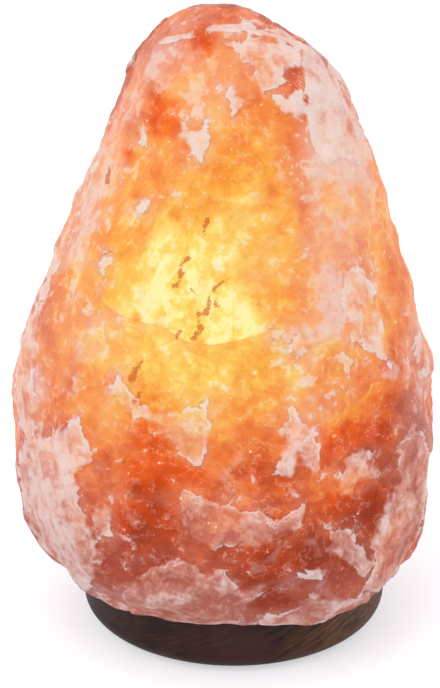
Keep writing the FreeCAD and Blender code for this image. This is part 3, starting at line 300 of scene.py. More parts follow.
@dataclass(frozen=True)
class HewnRockSalt:
    """Rock salt (halite), hewn, with the bulb's light through it painted on as a glow of its own.

    The eye gets clear, cloudy and streaky salt with a painted glow from brick red through orange
    to pale yellow towards the bulb, and torn, pinkish white crust where the surface is crushed
    and scatters the light. Sizes are in millimetres.
    """

    name: str = "hewn_rock_salt"
    refraction: float = 1.544
    shine: float = 0.1
    # Colours by painted glow, from faint to bright: through clear salt, through crust and in
    # embers.
    clear_stops: Stops = (
        (0.0, "A8412A"), (0.15, "BD4E2C"), (0.3, "DE5F2A"), (0.45, "F37C32"),
        (0.6, "FB9636"), (0.72, "FCAD43"), (0.85, "FDC754"), (0.95, "FEE26E"), (1.0, "FFF4A0"),
    )
    crust_stops: Stops = (
        (0.0, "D9998B"), (0.2, "EDAE9D"), (0.4, "FAB99C"), (0.6, "FFC394"),
        (0.75, "FFD08A"), (0.9, "FFE594"), (1.0, "FFF8C8"),
    )
    ember_stops: Stops = (
        (0.0, "9A3210"), (0.25, "CB4408"), (0.5, "F25A10"), (0.75, "FF7E18"), (1.0, "FFA62C"),
    )
    speck: str = "D8560E"
    bleached: str = "F0DEDA"
    # grain is the colour of the painted glints.
    grain: str = "FFF3EA"
    # Colour of the painted shadow along the crust's edge, multiplied in.
    painted_edge_shadow: str = "B4411F"
    drift_width: float = 8.0
    drift: float = 9.0
    chip_width: float = 6.0
    streak_width: float = 1.5
    streak_length: float = 10.0
    streak_lean: float = 22.0
    # How far apart the painted glints lie, in millimetres.
    glint_spacing: float = 2.6
    held_back: float = 0.2
    mist: float = 0.62
    crust_relief: float = 0.25
    relief: float = 0.8

    def make(self) -> bpy.types.Material:
        """Makes the material; it reads the fields that the rock's mesh carries."""
        material, put = blank_material(self.name)
        place = place_in_mm(put)
        fields = {
            key: put("ShaderNodeAttribute", {"attribute_name": key}).outputs["Fac"]
            for key in FIELDS
        }
        salt = SaltNodes(put, place, fields, self.patterns(put, place, fields["streaky"]))
        glow = self.glow(salt)
        crust, crust_white_and_rim_highlight, painted_edge_shadow = self.crust(salt)
        pale = self.paleness(salt, crust)
        colour = self.colour(salt, glow, crust_white_and_rim_highlight, {"painted_edge_shadow": painted_edge_shadow, "pale": pale})
        # The share of the colour that is painted glow, shining by itself, grows towards the bulb.
        own = put(
            RANGE, None,
            {"Value": glow, "From Min": 0.05, "From Max": 1.0, "To Min": 0.4, "To Max": 0.92},
        )
        lit = put(VECTOR, SCALE, {0: colour, "Scale": own})
        reflected = put(VECTOR, SUBTRACT, {0: colour, 1: lit})
        raised = put(MATH, MULTIPLY, {0: crust, 1: self.crust_relief})
        bump = put(
            BUMP, None,
            {"Height": salt.swung(raised, SWINGS["relief"]), "Distance": MM,
             "Strength": self.relief},
        )
        roughness = put(RANGE, None, {"Value": pale, "To Min": 0.34, "To Max": 0.62})
        shader = put(
            PRINCIPLED, None,
            {"Base Color": reflected, "Roughness": roughness, "IOR": self.refraction,
             "Specular IOR Level": self.shine, "Emission Color": lit, "Emission Strength": 1.0,
             "Normal": bump},
        )
        put(OUTPUT, None, {"Surface": shader})
        return material

    def patterns(self, put: Put, place: Source, streaky: Source) -> dict[str, Source]:
        """Adds the patterns in the salt.

        Args:
            put: adds a node.
            place: the place on the rock, in millimetres.
            streaky: where the salt has streaks in place of lumps, from 0 to 1.

        Returns:
            Each pattern by name, about a half on average.
        """
        patterns: dict[str, Source] = {
            name: put(
                NOISE, None,
                {"Vector": place, "Scale": 1.0 / width, "Detail": detail, "Roughness": rough,
                 "Distortion": bend},
            )
            for name, (width, detail, rough, bend) in SALT_PATTERNS.items()
        }
        # Chips, each with a tone of its own, bent round one another.
        drift = put(
            NOISE, None,
            {"Vector": place, "Scale": 1.0 / self.drift_width, "Detail": 3.0, "Roughness": 0.6},
        )
        bent = put(
            VECTOR, MULTIPLY_ADD, {0: drift.outputs["Color"], 1: (self.drift,) * 3, 2: place},
        )
        chips = put(
            VORONOI, None, {"Vector": bent, "Scale": 1.0 / self.chip_width, "Randomness": 1.0},
        )
        patterns["chip"] = put("ShaderNodeSeparateColor", None, {0: chips.outputs["Color"]})
        # Growth streaks that lean to the right.
        leaning = put(
            MAPPING, TEXTURE,
            {"Vector": place, "Rotation": (0.0, math.radians(self.streak_lean), 0.0),
             "Scale": (self.streak_width, self.streak_width, self.streak_length)},
        )
        streak = put(
            NOISE, None,
            {"Vector": leaning, "Scale": 1.0, "Detail": 3.0, "Roughness": 0.55,
             "Distortion": 0.6},
        )
        patterns["fibre"] = put(MIX, None, {0: streaky, 2: patterns["lump"], 3: streak})
        return patterns

    def glow(self, salt: SaltNodes) -> Source:
        """The painted glow, as if light came through; just under the window's crisp edge it is
        held back.
        """
        under = salt.put(
            RANGE, None, {"Value": salt.fields["window"], "From Min": 0.515, "From Max": 0.485},
        )
        held = salt.put(MATH, MULTIPLY, {0: under, 1: salt.fields["held"]})
        held = salt.put(MATH, MULTIPLY, {0: held, 1: self.held_back})
        glow = salt.swung(salt.fields["glow"], SWINGS["glow"])
        return salt.put(MATH, SUBTRACT, {0: glow, 1: held})

    def crust(self, salt: SaltNodes) -> tuple[Source, Source, Source]:
        """Adds the crust, whose field is eaten by patterns so that its edge is torn.

        Args:
            salt: the fields and patterns.

        Returns:
            The share of crust, its whiteness with a painted highlight at lifted edges, and the
            painted shadow along its edge.
        """
        put = salt.put
        torn = salt.swung(salt.fields["crust"], SWINGS["crust"])
        # The edge is crisp where the crust is lifted and melts into the salt elsewhere.
        lifted = put(
            RANGE, SMOOTH, {"Value": salt.patterns["cloud"], "From Min": 0.42, "From Max": 0.56},
        )
        foot, top = (
            put(RANGE, None, {"Value": lifted, "To Min": soft, "To Max": crisp})
            for soft, crisp in ((0.27, 0.455), (0.74, 0.545))
        )
        share = put(RANGE, SMOOTH, {"Value": torn, "From Min": foot, "From Max": top})
        # A lifted edge gets the most crust and is palest, a painted highlight, and a painted
        # shadow runs in a narrow line along outside it.
        painted_rim_highlight = put(
            RANGE, SMOOTH, {"Value": torn, "From Min": 0.64, "From Max": 0.54, "To Max": 0.8},
        )
        # The painted shadow: a darker line just outside the crust's edge.
        painted_edge_shadow = put(
            RANGE, SMOOTH, {"Value": torn, "From Min": 0.38, "From Max": 0.47, "To Max": 0.3},
        )
        painted_rim_highlight, painted_edge_shadow = (put(MATH, MULTIPLY, {0: part, 1: lifted}) for part in (painted_rim_highlight, painted_edge_shadow))
        proud = put(RANGE, None, {"Value": salt.fields["ridge"], "To Min": -0.45, "To Max": 0.45})
        crust_white_and_rim_highlight = salt.swung(salt.fields["white"], SWINGS["white"])
        for more in (proud, painted_rim_highlight):
            crust_white_and_rim_highlight = put(MATH, ADD, {0: crust_white_and_rim_highlight, 1: more})
        covering = put(RANGE, None, {"Value": crust_white_and_rim_highlight, "To Min": 0.26, "To Max": 0.97})
        return put(MATH, MULTIPLY, {0: share, 1: covering}), crust_white_and_rim_highlight, painted_edge_shadow

    def paleness(self, salt: SaltNodes, crust: Source) -> Source:
        """How pale the surface is: whatever is palest there.

        Args:
            salt: the fields and patterns.
            crust: the share of crust.

        Returns:
            The paleness, from 0 to 1.
        """
        put, fields, patterns = salt.put, salt.fields, salt.patterns
        # Small flakes of crust, closer together where the haze is denser.
        level = put(RANGE, None, {"Value": fields["haze"], "To Min": 0.72, "To Max": 0.42})
        flaky = salt.swung(patterns["flake"], SWINGS["flakes"])
        flaky = put(MATH, SUBTRACT, {0: flaky, 1: level})
        flakes = put(
            RANGE, SMOOTH, {"Value": flaky, "From Min": -0.02, "From Max": 0.06, "To Max": 0.7},
        )
        # Short, curved ridges of broken crystal get pale strokes: a painted highlight.
        stroke = put(MATH, SUBTRACT, {0: patterns["fibre"], 1: 0.5})
        stroke = put(MATH, ABSOLUTE, {0: stroke})
        stroke = put(RANGE, SMOOTH, {"Value": stroke, "From Min": 0.024, "From Max": 0.0})
        broken = put(
            RANGE, SMOOTH,
            {"Value": patterns["flake"], "From Min": 0.47, "From Max": 0.58, "To Max": 0.6},
        )
        stroke = put(MATH, MULTIPLY, {0: stroke, 1: broken})
        mist = salt.swung(fields["haze"], SWINGS["haze"])
        mist = put(MATH, MULTIPLY, {0: mist, 1: self.mist})
        # Paler along the arrises, where the surface stands most proud.
        arris = put(
            RANGE, SMOOTH,
            {"Value": fields["ridge"], "From Min": 0.62, "From Max": 1.0, "To Max": 0.45},
        )
        pale = crust
        for other in (flakes, mist, stroke, arris):
            pale = put(MATH, MAXIMUM, {0: pale, 1: other})
        return pale

    def colour(
        self, salt: SaltNodes, glow: Source, crust_white_and_rim_highlight: Source, shares: Mapping[str, Source],
    ) -> Source:
        """Lays the colours over one another.

        Args:
            salt: the fields and patterns.
            glow: the painted glow, how strongly light seems to come through.
            crust_white_and_rim_highlight: the crust's whiteness, with a painted highlight at its
                lifted edges.
            shares: the painted shadow along the crust's edge and how pale the surface is.

        Returns:
            The colour of the surface.
        """
        put, fields, patterns = salt.put, salt.fields, salt.patterns
        clear, white, deep = (
            put("ShaderNodeValToRGB", None, {"Fac": glow}, stops)
            for stops in (self.clear_stops, self.crust_stops, self.ember_stops)
        )
        # Hollows and embers take the darker, deeper ember colours.
        pit = put(
            RANGE, SMOOTH,
            {"Value": fields["ridge"], "From Min": 0.42, "From Max": 0.05, "To Max": 0.75},
        )
        pit = put(MATH, MAXIMUM, {0: pit, 1: fields["ember"]})
        bleach = put(
            RANGE, None, {"Value": crust_white_and_rim_highlight, "From Min": 0.5, "From Max": 1.5, "To Max": 0.85},
        )
        powder = put(
            MIX, COLOURS, {MIX_FACTOR: bleach, MIX_A: white, MIX_B: linear(self.bleached)},
        ).outputs[MIX_RESULT]
        # Flaws are stained by iron, in specks.
        stain = put(
            RANGE, SMOOTH,
            {"Value": salt.swung(fields["speck"], SWINGS["speck"]),
             "From Min": 0.55, "From Max": 0.9, "To Max": 0.75},
        )
        near = put(RANGE, None, {"Value": fields["speck"], "From Min": 0.08, "From Max": 0.3})
        stain = put(MATH, MULTIPLY, {0: stain, 1: near})
        # Painted glints, as from loose grains of salt under a millimetre wide, here and there.
        glint_cells = put(VORONOI, None, {"Vector": salt.place, "Scale": 1.0 / self.glint_spacing})
        painted_glint = put(RANGE, None, {"Value": glint_cells, "From Min": 0.2, "From Max": 0.1})
        chosen = put(
            RANGE, None,
            {"Value": patterns["lump"], "From Min": 0.58, "From Max": 0.63, "To Max": 0.8},
        )
        painted_glint = put(MATH, MULTIPLY, {0: painted_glint, 1: chosen})
        colour: Source = clear
        # Over the clear colour: ember colours, the painted edge shadow multiplied in, the pale
        # crust, stains and painted glints.
        for share, over, blend in (
            (pit, deep, "MIX"), (shares["painted_edge_shadow"], linear(self.painted_edge_shadow), "MULTIPLY"),
            (shares["pale"], powder, "MIX"), (stain, linear(self.speck), "MIX"),
            (painted_glint, linear(self.grain), "MIX"),
        ):
            colour = put(
                MIX, COLOURS | {"blend_type": blend},
                {MIX_FACTOR: share, MIX_A: colour, MIX_B: over},
            ).outputs[MIX_RESULT]
        return colour


@dataclass(frozen=True)
class StainedMangoWood:
    """Mango wood, turned, stained nearly black-brown and rubbed with wax.

    The stain lies dense and plum-brown on one side and lets golden grain through on the
    other. Sizes are in millimetres, with the grain along X.
    """

    name: str = "stained_turned_wood"
    stain: str = "3A2022"
    shade: str = "1E1111"
    grain: str = "83603F"
    refraction: float = 1.5
    shine: float = 0.14
    fibre_size: tuple[float, float, float] = (16.0, 6.0, 1.1)
    fibre_lean: float = -24.0
    ring_width: float = 18.0
    bare_from: float = 12.0
    bare_to: float = 42.0
    relief: float = 0.25

    def make(self) -> bpy.types.Material:
        """Makes the material."""
        material, put = blank_material(self.name)
        place = place_in_mm(put)
        along = put(
            MAPPING, TEXTURE,
            {"Vector": place, "Rotation": (0.0, math.radians(self.fibre_lean), 0.0),
             "Scale": self.fibre_size},
        )
        fibre = put(NOISE, None, {"Vector": along, "Scale": 1.0, "Detail": 5.0, "Roughness": 0.7})
        rings = put(
            NOISE, None,
            {"Vector": place, "Scale": 1.0 / self.ring_width, "Detail": 2.0, "Distortion": 0.6},
        )
        side = put("ShaderNodeSeparateXYZ", None, {0: place}).outputs["X"]
        bare = put(
            RANGE, SMOOTH,
            {"Value": side, "From Min": self.bare_from, "From Max": self.bare_to,
             "To Min": 0.12, "To Max": 0.9},
        )
        showing = put(RANGE, None, {"Value": fibre, "From Min": 0.38, "From Max": 0.68})
        showing = put(MATH, MULTIPLY, {0: showing, 1: bare})
        depth = put(RANGE, None, {"Value": rings, "From Min": 0.35, "From Max": 0.6})
        dark = put(
            MIX, COLOURS,
            {MIX_FACTOR: depth, MIX_A: linear(self.shade), MIX_B: linear(self.stain)},
        ).outputs[MIX_RESULT]
        colour = put(
            MIX, COLOURS, {MIX_FACTOR: showing, MIX_A: dark, MIX_B: linear(self.grain)},
        ).outputs[MIX_RESULT]
        bump = put(BUMP, None, {"Height": fibre, "Distance": MM, "Strength": self.relief})
        roughness = put(RANGE, None, {"Value": fibre, "To Min": 0.42, "To Max": 0.62})
        shader = put(
            PRINCIPLED, None,
            {"Base Color": colour, "Roughness": roughness, "IOR": self.refraction,
             "Specular IOR Level": self.shine, "Normal": bump},
        )
        put(OUTPUT, None, {"Surface": shader})
        return material


@dataclass(frozen=True)
class Moulded:
    """A moulded or cast body in one colour: phenolic, nylon, rubber or glass-like vitrite.

    The mould leaves a fine grain, and handling leaves duller and shinier places. Sizes are
    in millimetres.
    """

    name: str
    colour: str
    worn: str
    roughness: float
    refraction: float
    grain_width: float
    grain_depth: float
    rubbed_width: float = 7.0
    rubbing: float = 0.08

    def make(self) -> bpy.types.Material:
        """Makes the material."""
        material, put = blank_material(self.name)
        place = place_in_mm(put)
        grain = put(
            NOISE, None, {"Vector": place, "Scale": 1.0 / self.grain_width, "Detail": 2.0},
        )
        rubbed = put(
            NOISE, None,
            {"Vector": place, "Scale": 1.0 / self.rubbed_width, "Detail": 3.0,
             "Roughness": 0.6},
        )
        wear = put(
            RANGE, None, {"Value": rubbed, "From Min": 0.4, "From Max": 0.7, "To Max": 0.6},
        )
        colour = put(
            MIX, COLOURS,
            {MIX_FACTOR: wear, MIX_A: linear(self.colour), MIX_B: linear(self.worn)},
        ).outputs[MIX_RESULT]
        roughness = put(
            RANGE, None,
            {"Value": rubbed, "To Min": self.roughness + self.rubbing,
             "To Max": self.roughness - self.rubbing},
        )
        bump = put(BUMP, None, {"Height": grain, "Distance": MM, "Strength": self.grain_depth})
        shader = put(
            PRINCIPLED, None,
            {"Base Color": colour, "Roughness": roughness, "IOR": self.refraction,
             "Normal": bump},
        )
        put(OUTPUT, None, {"Surface": shader})
        return material


@dataclass(frozen=True)
class DrawnMetal:
    """Stamped, drawn or turned metal: brass, zinc-plated steel, spring steel or nickel plate.

    The tool leaves fine lines round the piece, and the air leaves a faint, cloudy tarnish.
    Sizes are in millimetres. glow is what a hot wire gives off by itself.
    """

    name: str
    colour: str
    tarnish: str
    roughness: float
    line_width: float
    glow: float = 0.0
    glow_colour: str = "FFD890"
    line_length: float = 6.0
    cloud_width: float = 5.0
    relief: float = 0.25

    def make(self) -> bpy.types.Material:
        """Makes the material."""
        material, put = blank_material(self.name)
        place = place_in_mm(put)
        flat = put(
            MAPPING, TEXTURE,
            {"Vector": place, "Scale": (self.line_length, self.line_length, self.line_width)},
        )
        lines = put(NOISE, None, {"Vector": flat, "Scale": 1.0, "Detail": 3.0, "Roughness": 0.7})
        cloud = put(
            NOISE, None,
            {"Vector": place, "Scale": 1.0 / self.cloud_width, "Detail": 4.0, "Roughness": 0.6},
        )
        dull = put(
            RANGE, None, {"Value": cloud, "From Min": 0.42, "From Max": 0.72, "To Max": 0.75},
        )
        colour = put(
            MIX, COLOURS,
            {MIX_FACTOR: dull, MIX_A: linear(self.colour), MIX_B: linear(self.tarnish)},
        ).outputs[MIX_RESULT]
        roughness = put(
            RANGE, None,
            {"Value": lines, "To Min": self.roughness - 0.1, "To Max": self.roughness + 0.12},
        )
        bump = put(BUMP, None, {"Height": lines, "Distance": 0.2 * MM, "Strength": self.relief})
        shader = put(
            PRINCIPLED, None,
            {"Base Color": colour, "Metallic": 1.0, "Roughness": roughness, "Normal": bump,
             "Emission Color": linear(self.glow_colour), "Emission Strength": self.glow},
        )
        put(OUTPUT, None, {"Surface": shader})
        return material


@dataclass(frozen=True)
class BlownGlass:
    """Soda-lime glass, blown thin: clear, with a faint wave in its wall, in millimetres."""

    name: str = "blown_bulb_glass"
    colour: str = "F6FBFF"
    refraction: float = 1.45
    roughness: float = 0.03
    wave_width: float = 9.0
    wave_depth: float = 0.12

    def make(self) -> bpy.types.Material:
        """Makes the material."""
        material, put = blank_material(self.name)
        wave = put(
            NOISE, None,
            {"Vector": place_in_mm(put), "Scale": 1.0 / self.wave_width, "Detail": 1.0},
        )
        bump = put(BUMP, None, {"Height": wave, "Distance": MM, "Strength": self.wave_depth})
        shader = put(
            PRINCIPLED, None,
            {"Base Color": linear(self.colour), "Roughness": self.roughness,
             "IOR": self.refraction, "Transmission Weight": 1.0, "Normal": bump},
        )
        put(OUTPUT, None, {"Surface": shader})
        return material


def seen_directly(put: Put) -> Source:
    """Adds what is 1 for the eye, in mirrors and through glass, and 0 for light."""
    rays = put("ShaderNodeLightPath").outputs
    seen: Source = rays["Is Camera Ray"]
    for name in ("Is Glossy Ray", "Is Transmission Ray"):
        seen = put(MATH, MAXIMUM, {0: seen, 1: rays[name]})
    return seen


@dataclass(frozen=True)
class StudioPaper:
    """White backdrop paper, rolled smooth; it can be looked through from below.

    lift brings its open parts to white for the eye alone.
    """

    name: str = "white_backdrop_paper"
    colour: str = "CFCCD4"
    lift: float = 0.52
    roughness: float = 0.9

    def make(self) -> bpy.types.Material:
        """Makes the material."""
        material, put = blank_material(self.name)
        lifted = put(MATH, MULTIPLY, {0: seen_directly(put), 1: self.lift})
        paper = put(
            PRINCIPLED, None,
            {"Base Color": linear(self.colour), "Roughness": self.roughness,
             "Emission Color": linear("FFFFFF"), "Emission Strength": lifted},
        )
        below = put("ShaderNodeNewGeometry").outputs["Backfacing"]
        gone = put("ShaderNodeBsdfTransparent")
        both = put("ShaderNodeMixShader", None, {0: below, 1: paper, 2: gone})
        put(OUTPUT, None, {"Surface": both})
        return material


# ---------------------------------------------------------------- the rock


@dataclass(frozen=True)
class Patch:
    """A patch of crust on the front of the rock.

    white is how white it is, from 0 to 1, and reach how far, in mm, its torn edge wanders.
    """

    white: float
    edge: Outline
    reach: float = 4.0


@dataclass(frozen=True)
class Flaw:
    """A rust-coloured flaw along a line: its half width in mm and its strength up to 1."""

    path: Outline
    half_width: float
    strength: float = 1.0


# Crushed, pinkish white crust on the front of the rock.
CRUST: dict[str, Patch] = {
    "right_face": Patch(0.8, (
        (26, 215), (31, 212), (37, 204), (46, 189), (50, 178), (45, 176), (40, 181), (34, 180),
        (29, 186), (27.5, 200), (26.5, 210),
    ), 1.6),
    "cap_line": Patch(0.9, (
        (-21, 217), (-11, 220.5), (-3, 222.3), (7, 222.5), (15, 220.6), (22, 217.5), (26.5, 215),
        (26, 213.5), (21.5, 216), (15, 219), (7, 221), (-3, 221), (-11, 219), (-21, 216),
    ), 1.2),
    "brow": Patch(0.75, (
        (0, 218), (13, 219), (26, 215), (26, 210), (20, 210), (20, 206), (17, 204), (12, 204),
        (10, 208), (11, 212), (5, 212), (5, 215),
    )),
    "brow_low": Patch(1.0, ((16, 203), (27, 202), (27, 197), (24, 196), (19, 198), (17, 201))),
    "butterfly": Patch(0.8, (
        (-15, 194), (-8, 193), (-6, 196), (-4, 191), (-9, 181), (-11, 188), (-15, 190),
    )),
    "brow_drip": Patch(0.9, ((1, 205), (3, 206), (5, 199), (3, 197))),
    "left_streak": Patch(0.9, ((-28, 191), (-26, 190), (-26, 185), (-28, 186))),
    # The left band is crust and also a painted sheen along the rock's left edge.
    "left_band": Patch(0.6, (
        (-42, 175), (-50, 154), (-60, 132), (-65, 114), (-65, 82), (-69, 78), (-74, 86),
        (-73, 101), (-71, 112), (-61, 134), (-55, 149), (-45, 173),
    )),
    "left_foot": Patch(0.8, (
        (-65, 83), (-55, 92), (-49, 97), (-45, 83), (-50, 78), (-49, 68), (-44, 55), (-43, 48),
        (-47, 30), (-56, 35), (-65, 38), (-71, 48), (-73, 64), (-70, 78),
    )),
    "left_block": Patch(0.7, ((-45, 65), (-43, 69), (-38, 67), (-38, 57), (-44, 55))),
    "vein": Patch(0.5, (
        (-38, 110), (-35, 114), (-28, 107), (-23, 103), (-12, 106), (-5, 108), (-5, 94),
        (-8, 85), (-14, 89), (-22, 100), (-34, 103),
    )),
    "middle_shelf": Patch(0.18, (
        (-15, 75), (-13, 77), (-1, 73), (10, 71), (17, 67), (23, 69), (28, 74), (26, 65),
        (15, 60), (5, 59), (-3, 56), (-10, 58), (-14, 64),
    )),
    "front_foot": Patch(0.32, (
        (-36, 39), (-25, 46), (-11, 52), (-6, 46), (-1, 49), (6, 39), (13, 45), (15, 42),
        (8, 31), (7, 24), (-5, 21), (-32, 22),
    )),
    "brush": Patch(0.6, ((24, 46), (32, 48), (35, 47), (33, 43), (25, 44))),
    "rim_right": Patch(0.5, (
        (10, 29), (19, 27), (26, 33), (30, 38), (36, 34), (51, 31), (50, 22), (13, 22),
    )),
    "right_island": Patch(0.5, (
        (44, 85), (52, 83), (49, 80), (54, 74), (53, 72), (46, 75), (43, 68), (38, 74),
        (41, 83),
    )),
    "right_foot": Patch(0.55, (
        (62, 85), (70, 81), (73, 70), (72, 54), (71, 42), (65, 34), (54, 28), (48, 34),
        (53, 41), (51, 51), (55, 58), (60, 68), (60, 81),
    )),
    "right_low": Patch(0.5, (
        (33, 64), (44, 58), (46, 51), (53, 42), (48, 39), (40, 49), (36, 53), (37, 59),
    )),
    "centre_drop": Patch(0.6, (
        (22, 107), (28, 100), (32, 95), (32, 85), (30, 82), (25, 91), (23, 82), (16, 83),
        (21, 94), (20, 100),
    )),
    "hot_right": Patch(0.5, ((14, 132), (19, 133), (21, 131), (16, 129))),
    "hot_right_low": Patch(0.5, ((24, 131), (29, 129), (27, 124), (24, 121), (22, 125))),
    "right_mid": Patch(0.5, ((37, 121), (40, 122), (43, 117), (41, 113), (38, 118))),
    "right_block": Patch(0.5, (
        (39, 149), (48, 145), (53, 129), (57, 111), (50, 119), (43, 125), (40, 132),
    )),
    "left_chip_high": Patch(0.7, ((-39, 152), (-36, 153), (-40, 145), (-46, 146))),
    "pebble": Patch(0.8, ((-29, 167), (-24, 169), (-25, 166))),
    "left_slant": Patch(0.5, ((-48, 131), (-45, 137), (-42, 138), (-46, 131))),
    "left_drop": Patch(0.5, ((-51, 110), (-49, 113), (-47, 111), (-50, 106))),
    # Crust, and also a painted sheen along the rock's right edge.
    "right_edge_high": Patch(0.7, ((66, 119), (71, 105), (74, 93), (68, 103), (65, 114))),
}

# Clear windows in the crust, where the salt's painted glow is a deeper orange than round them.
EMBERS: dict[str, Outline] = {
    "upper_left": ((-24, 203), (-15, 201), (-14, 194), (-17, 190), (-24, 189), (-25, 194)),
    "left": ((-34, 183), (-31, 185), (-29, 182), (-31, 180)),
    "crown": ((-11, 221), (-6, 222), (-3, 218), (-4, 213), (-9, 213)),
    "brow_window": ((20, 210), (25, 210), (26, 202), (20, 205)),
    "low": ((-29, 100), (-22, 99), (-17, 91), (-25, 87), (-31, 92)),
    "low_tail": ((-32, 86), (-21, 90), (-6, 85), (-5, 79), (-17, 78), (-28, 73), (-32, 78)),
    "dark": ((-36, 69), (-25, 73), (-17, 69), (-15, 63), (-16, 57), (-25, 55), (-35, 48)),
    "shelf_spot": ((10, 86), (13, 86), (15, 83), (12, 80)),
    "foot_window": ((-1, 57), (13, 58), (26, 60), (32, 57), (36, 51), (23, 46), (6, 41), (2, 49)),
    "foot_window_right": ((8, 32), (16, 42), (25, 34), (19, 28)),
    "right_window": ((31, 99), (56, 92), (58, 84), (43, 86), (33, 83)),
    "right_window_low": ((34, 75), (46, 68), (55, 69), (54, 60), (51, 55), (43, 60), (36, 65)),
}

# Lower edge of the lit window: a crisp, scalloped line, from left to right.
WINDOW_EDGE: Outline = (
    (-42, 138.5), (-39.5, 135.5), (-35, 133.5), (-28, 132), (-19.5, 130.5), (-15, 128),
    (-11, 126.5), (-4, 126.5), (2, 127.5), (8.5, 129), (14, 131.5), (17, 134.5),
    (20, 139), (21, 142.5),
)

# Rust-coloured flaws in the lit window and left of it.
FLAWS: tuple[Flaw, ...] = (
    Flaw(((-4.5, 165.5), (-6.0, 164.0)), 1.2), Flaw(((-6.5, 162.5), (-7.0, 160.5)), 1.2, 0.7),
    Flaw(((-8.5, 157.0), (-9.0, 156.0)), 0.9, 0.9), Flaw(((-11.8, 153.2), (-14.3, 150.8)), 0.4),
    Flaw(((-14.0, 148.5), (-14.5, 146.0), (-16.0, 143.8)), 1.5),
    Flaw(((-11.5, 143.0), (-10.0, 142.5)), 1.0, 0.6),
    Flaw(((2.0, 147.2), (-0.6, 146.4), (-3.2, 143.8), (-4.3, 141.8), (-5.4, 139.0)), 0.5, 0.95),
    Flaw(((-2.4, 143.1), (-2.7, 139.0), (-1.7, 138.2)), 0.6),
    Flaw(((-5.8, 136.4), (-6.6, 135.7)), 0.9), Flaw(((-8.5, 136.5), (-8.1, 133.5)), 0.3, 0.9),
    Flaw(((-7.8, 131.6), (-8.2, 129.6), (-10.0, 127.8)), 1.2),
    Flaw(((-14.4, 130.0), (-15.7, 127.6)), 0.3, 0.8),
    Flaw(((-27.3, 120.0), (-29.8, 115.6)), 0.4), Flaw(((-30.4, 113.8), (-31.5, 112.8)), 1.5),
    Flaw(((-28.5, 108.6), (-29.4, 106.8)), 1.1, 0.9),
    Flaw(((-38.0, 176.2), (-39.2, 171.6)), 0.6), Flaw(((27.3, 201.2), (28.0, 199.0)), 0.4),
    Flaw(((12.2, 133.9), (13.0, 133.5)), 0.4, 0.8),
)


@dataclass(frozen=True)
class Falloff:
    """Painted glow that is brightest at one place and falls off evenly round it, in millimetres.

    It falls off by 1 over reach, times the share that is given for each way.
    """

    peak: float
    across: float
    up: float
    reach: float
    sideways: float = 1.0
    upwards: float = 1.0
    downwards: float = 1.0

    def at(self, across: np.ndarray, up: np.ndarray) -> np.ndarray:
        """The glow at each point."""
        rise = np.where(up > self.up, self.upwards, self.downwards) * (up - self.up)
        return self.peak - np.hypot(self.sideways * (across - self.across), rise) / self.reach


@dataclass(frozen=True)
class Scallops:
    """The hollows that hewing leaves, in millimetres: their widths and how far they stand."""

    broad_width: float = 21.0
    broad_height: float = 2.0
    small_width: float = 10.0
    small_height: float = 1.7
    small_start: tuple[float, float, float] = (3.1, 1.7, 9.2)
    bend_width: float = 6.0
    bend: float = 2.5
    swell_width: float = 30.0
    swell_height: float = 0.4
    rough_width: float = 3.2
    rough_height: float = 0.2

    def height(self, point: Vector) -> float:
        """How far the surface stands out at a point."""
        bent = point + self.bend * noise.noise_vector(point / self.bend_width)
        broad = noise.voronoi(bent / self.broad_width)[0][0]
        small = noise.voronoi(bent / self.small_width + Vector(self.small_start))[0][0]
        swell = noise.fractal(point / self.swell_width, 1.0, 2.0, 3)
        rough = noise.fractal(point / self.rough_width, 0.8, 2.0, 3)
        return (
            self.broad_height * broad * broad + self.small_height * small * small
            + self.swell_height * swell + self.rough_height * rough
        )


def clouds(
    places: np.ndarray, width: float, fade: float, octaves: int,
    start: tuple[float, float, float] = (0.0, 0.0, 0.0),
) -> np.ndarray:
    """Soft noise about zero at each point.

    Args:
        places: the points, in millimetres.
        width: how wide its swings are, in millimetres.
        fade: how quickly its finer swings grow weaker.
        octaves: how many sizes of swing it has.
        start: moves the pattern, so that two of one width differ.

    Returns:
        The noise, about -0.5 to 0.5.
    """
    return np.array([
        noise.fractal(Vector(place) / width + Vector(start), fade, 2.1, octaves)
        for place in places
    ])


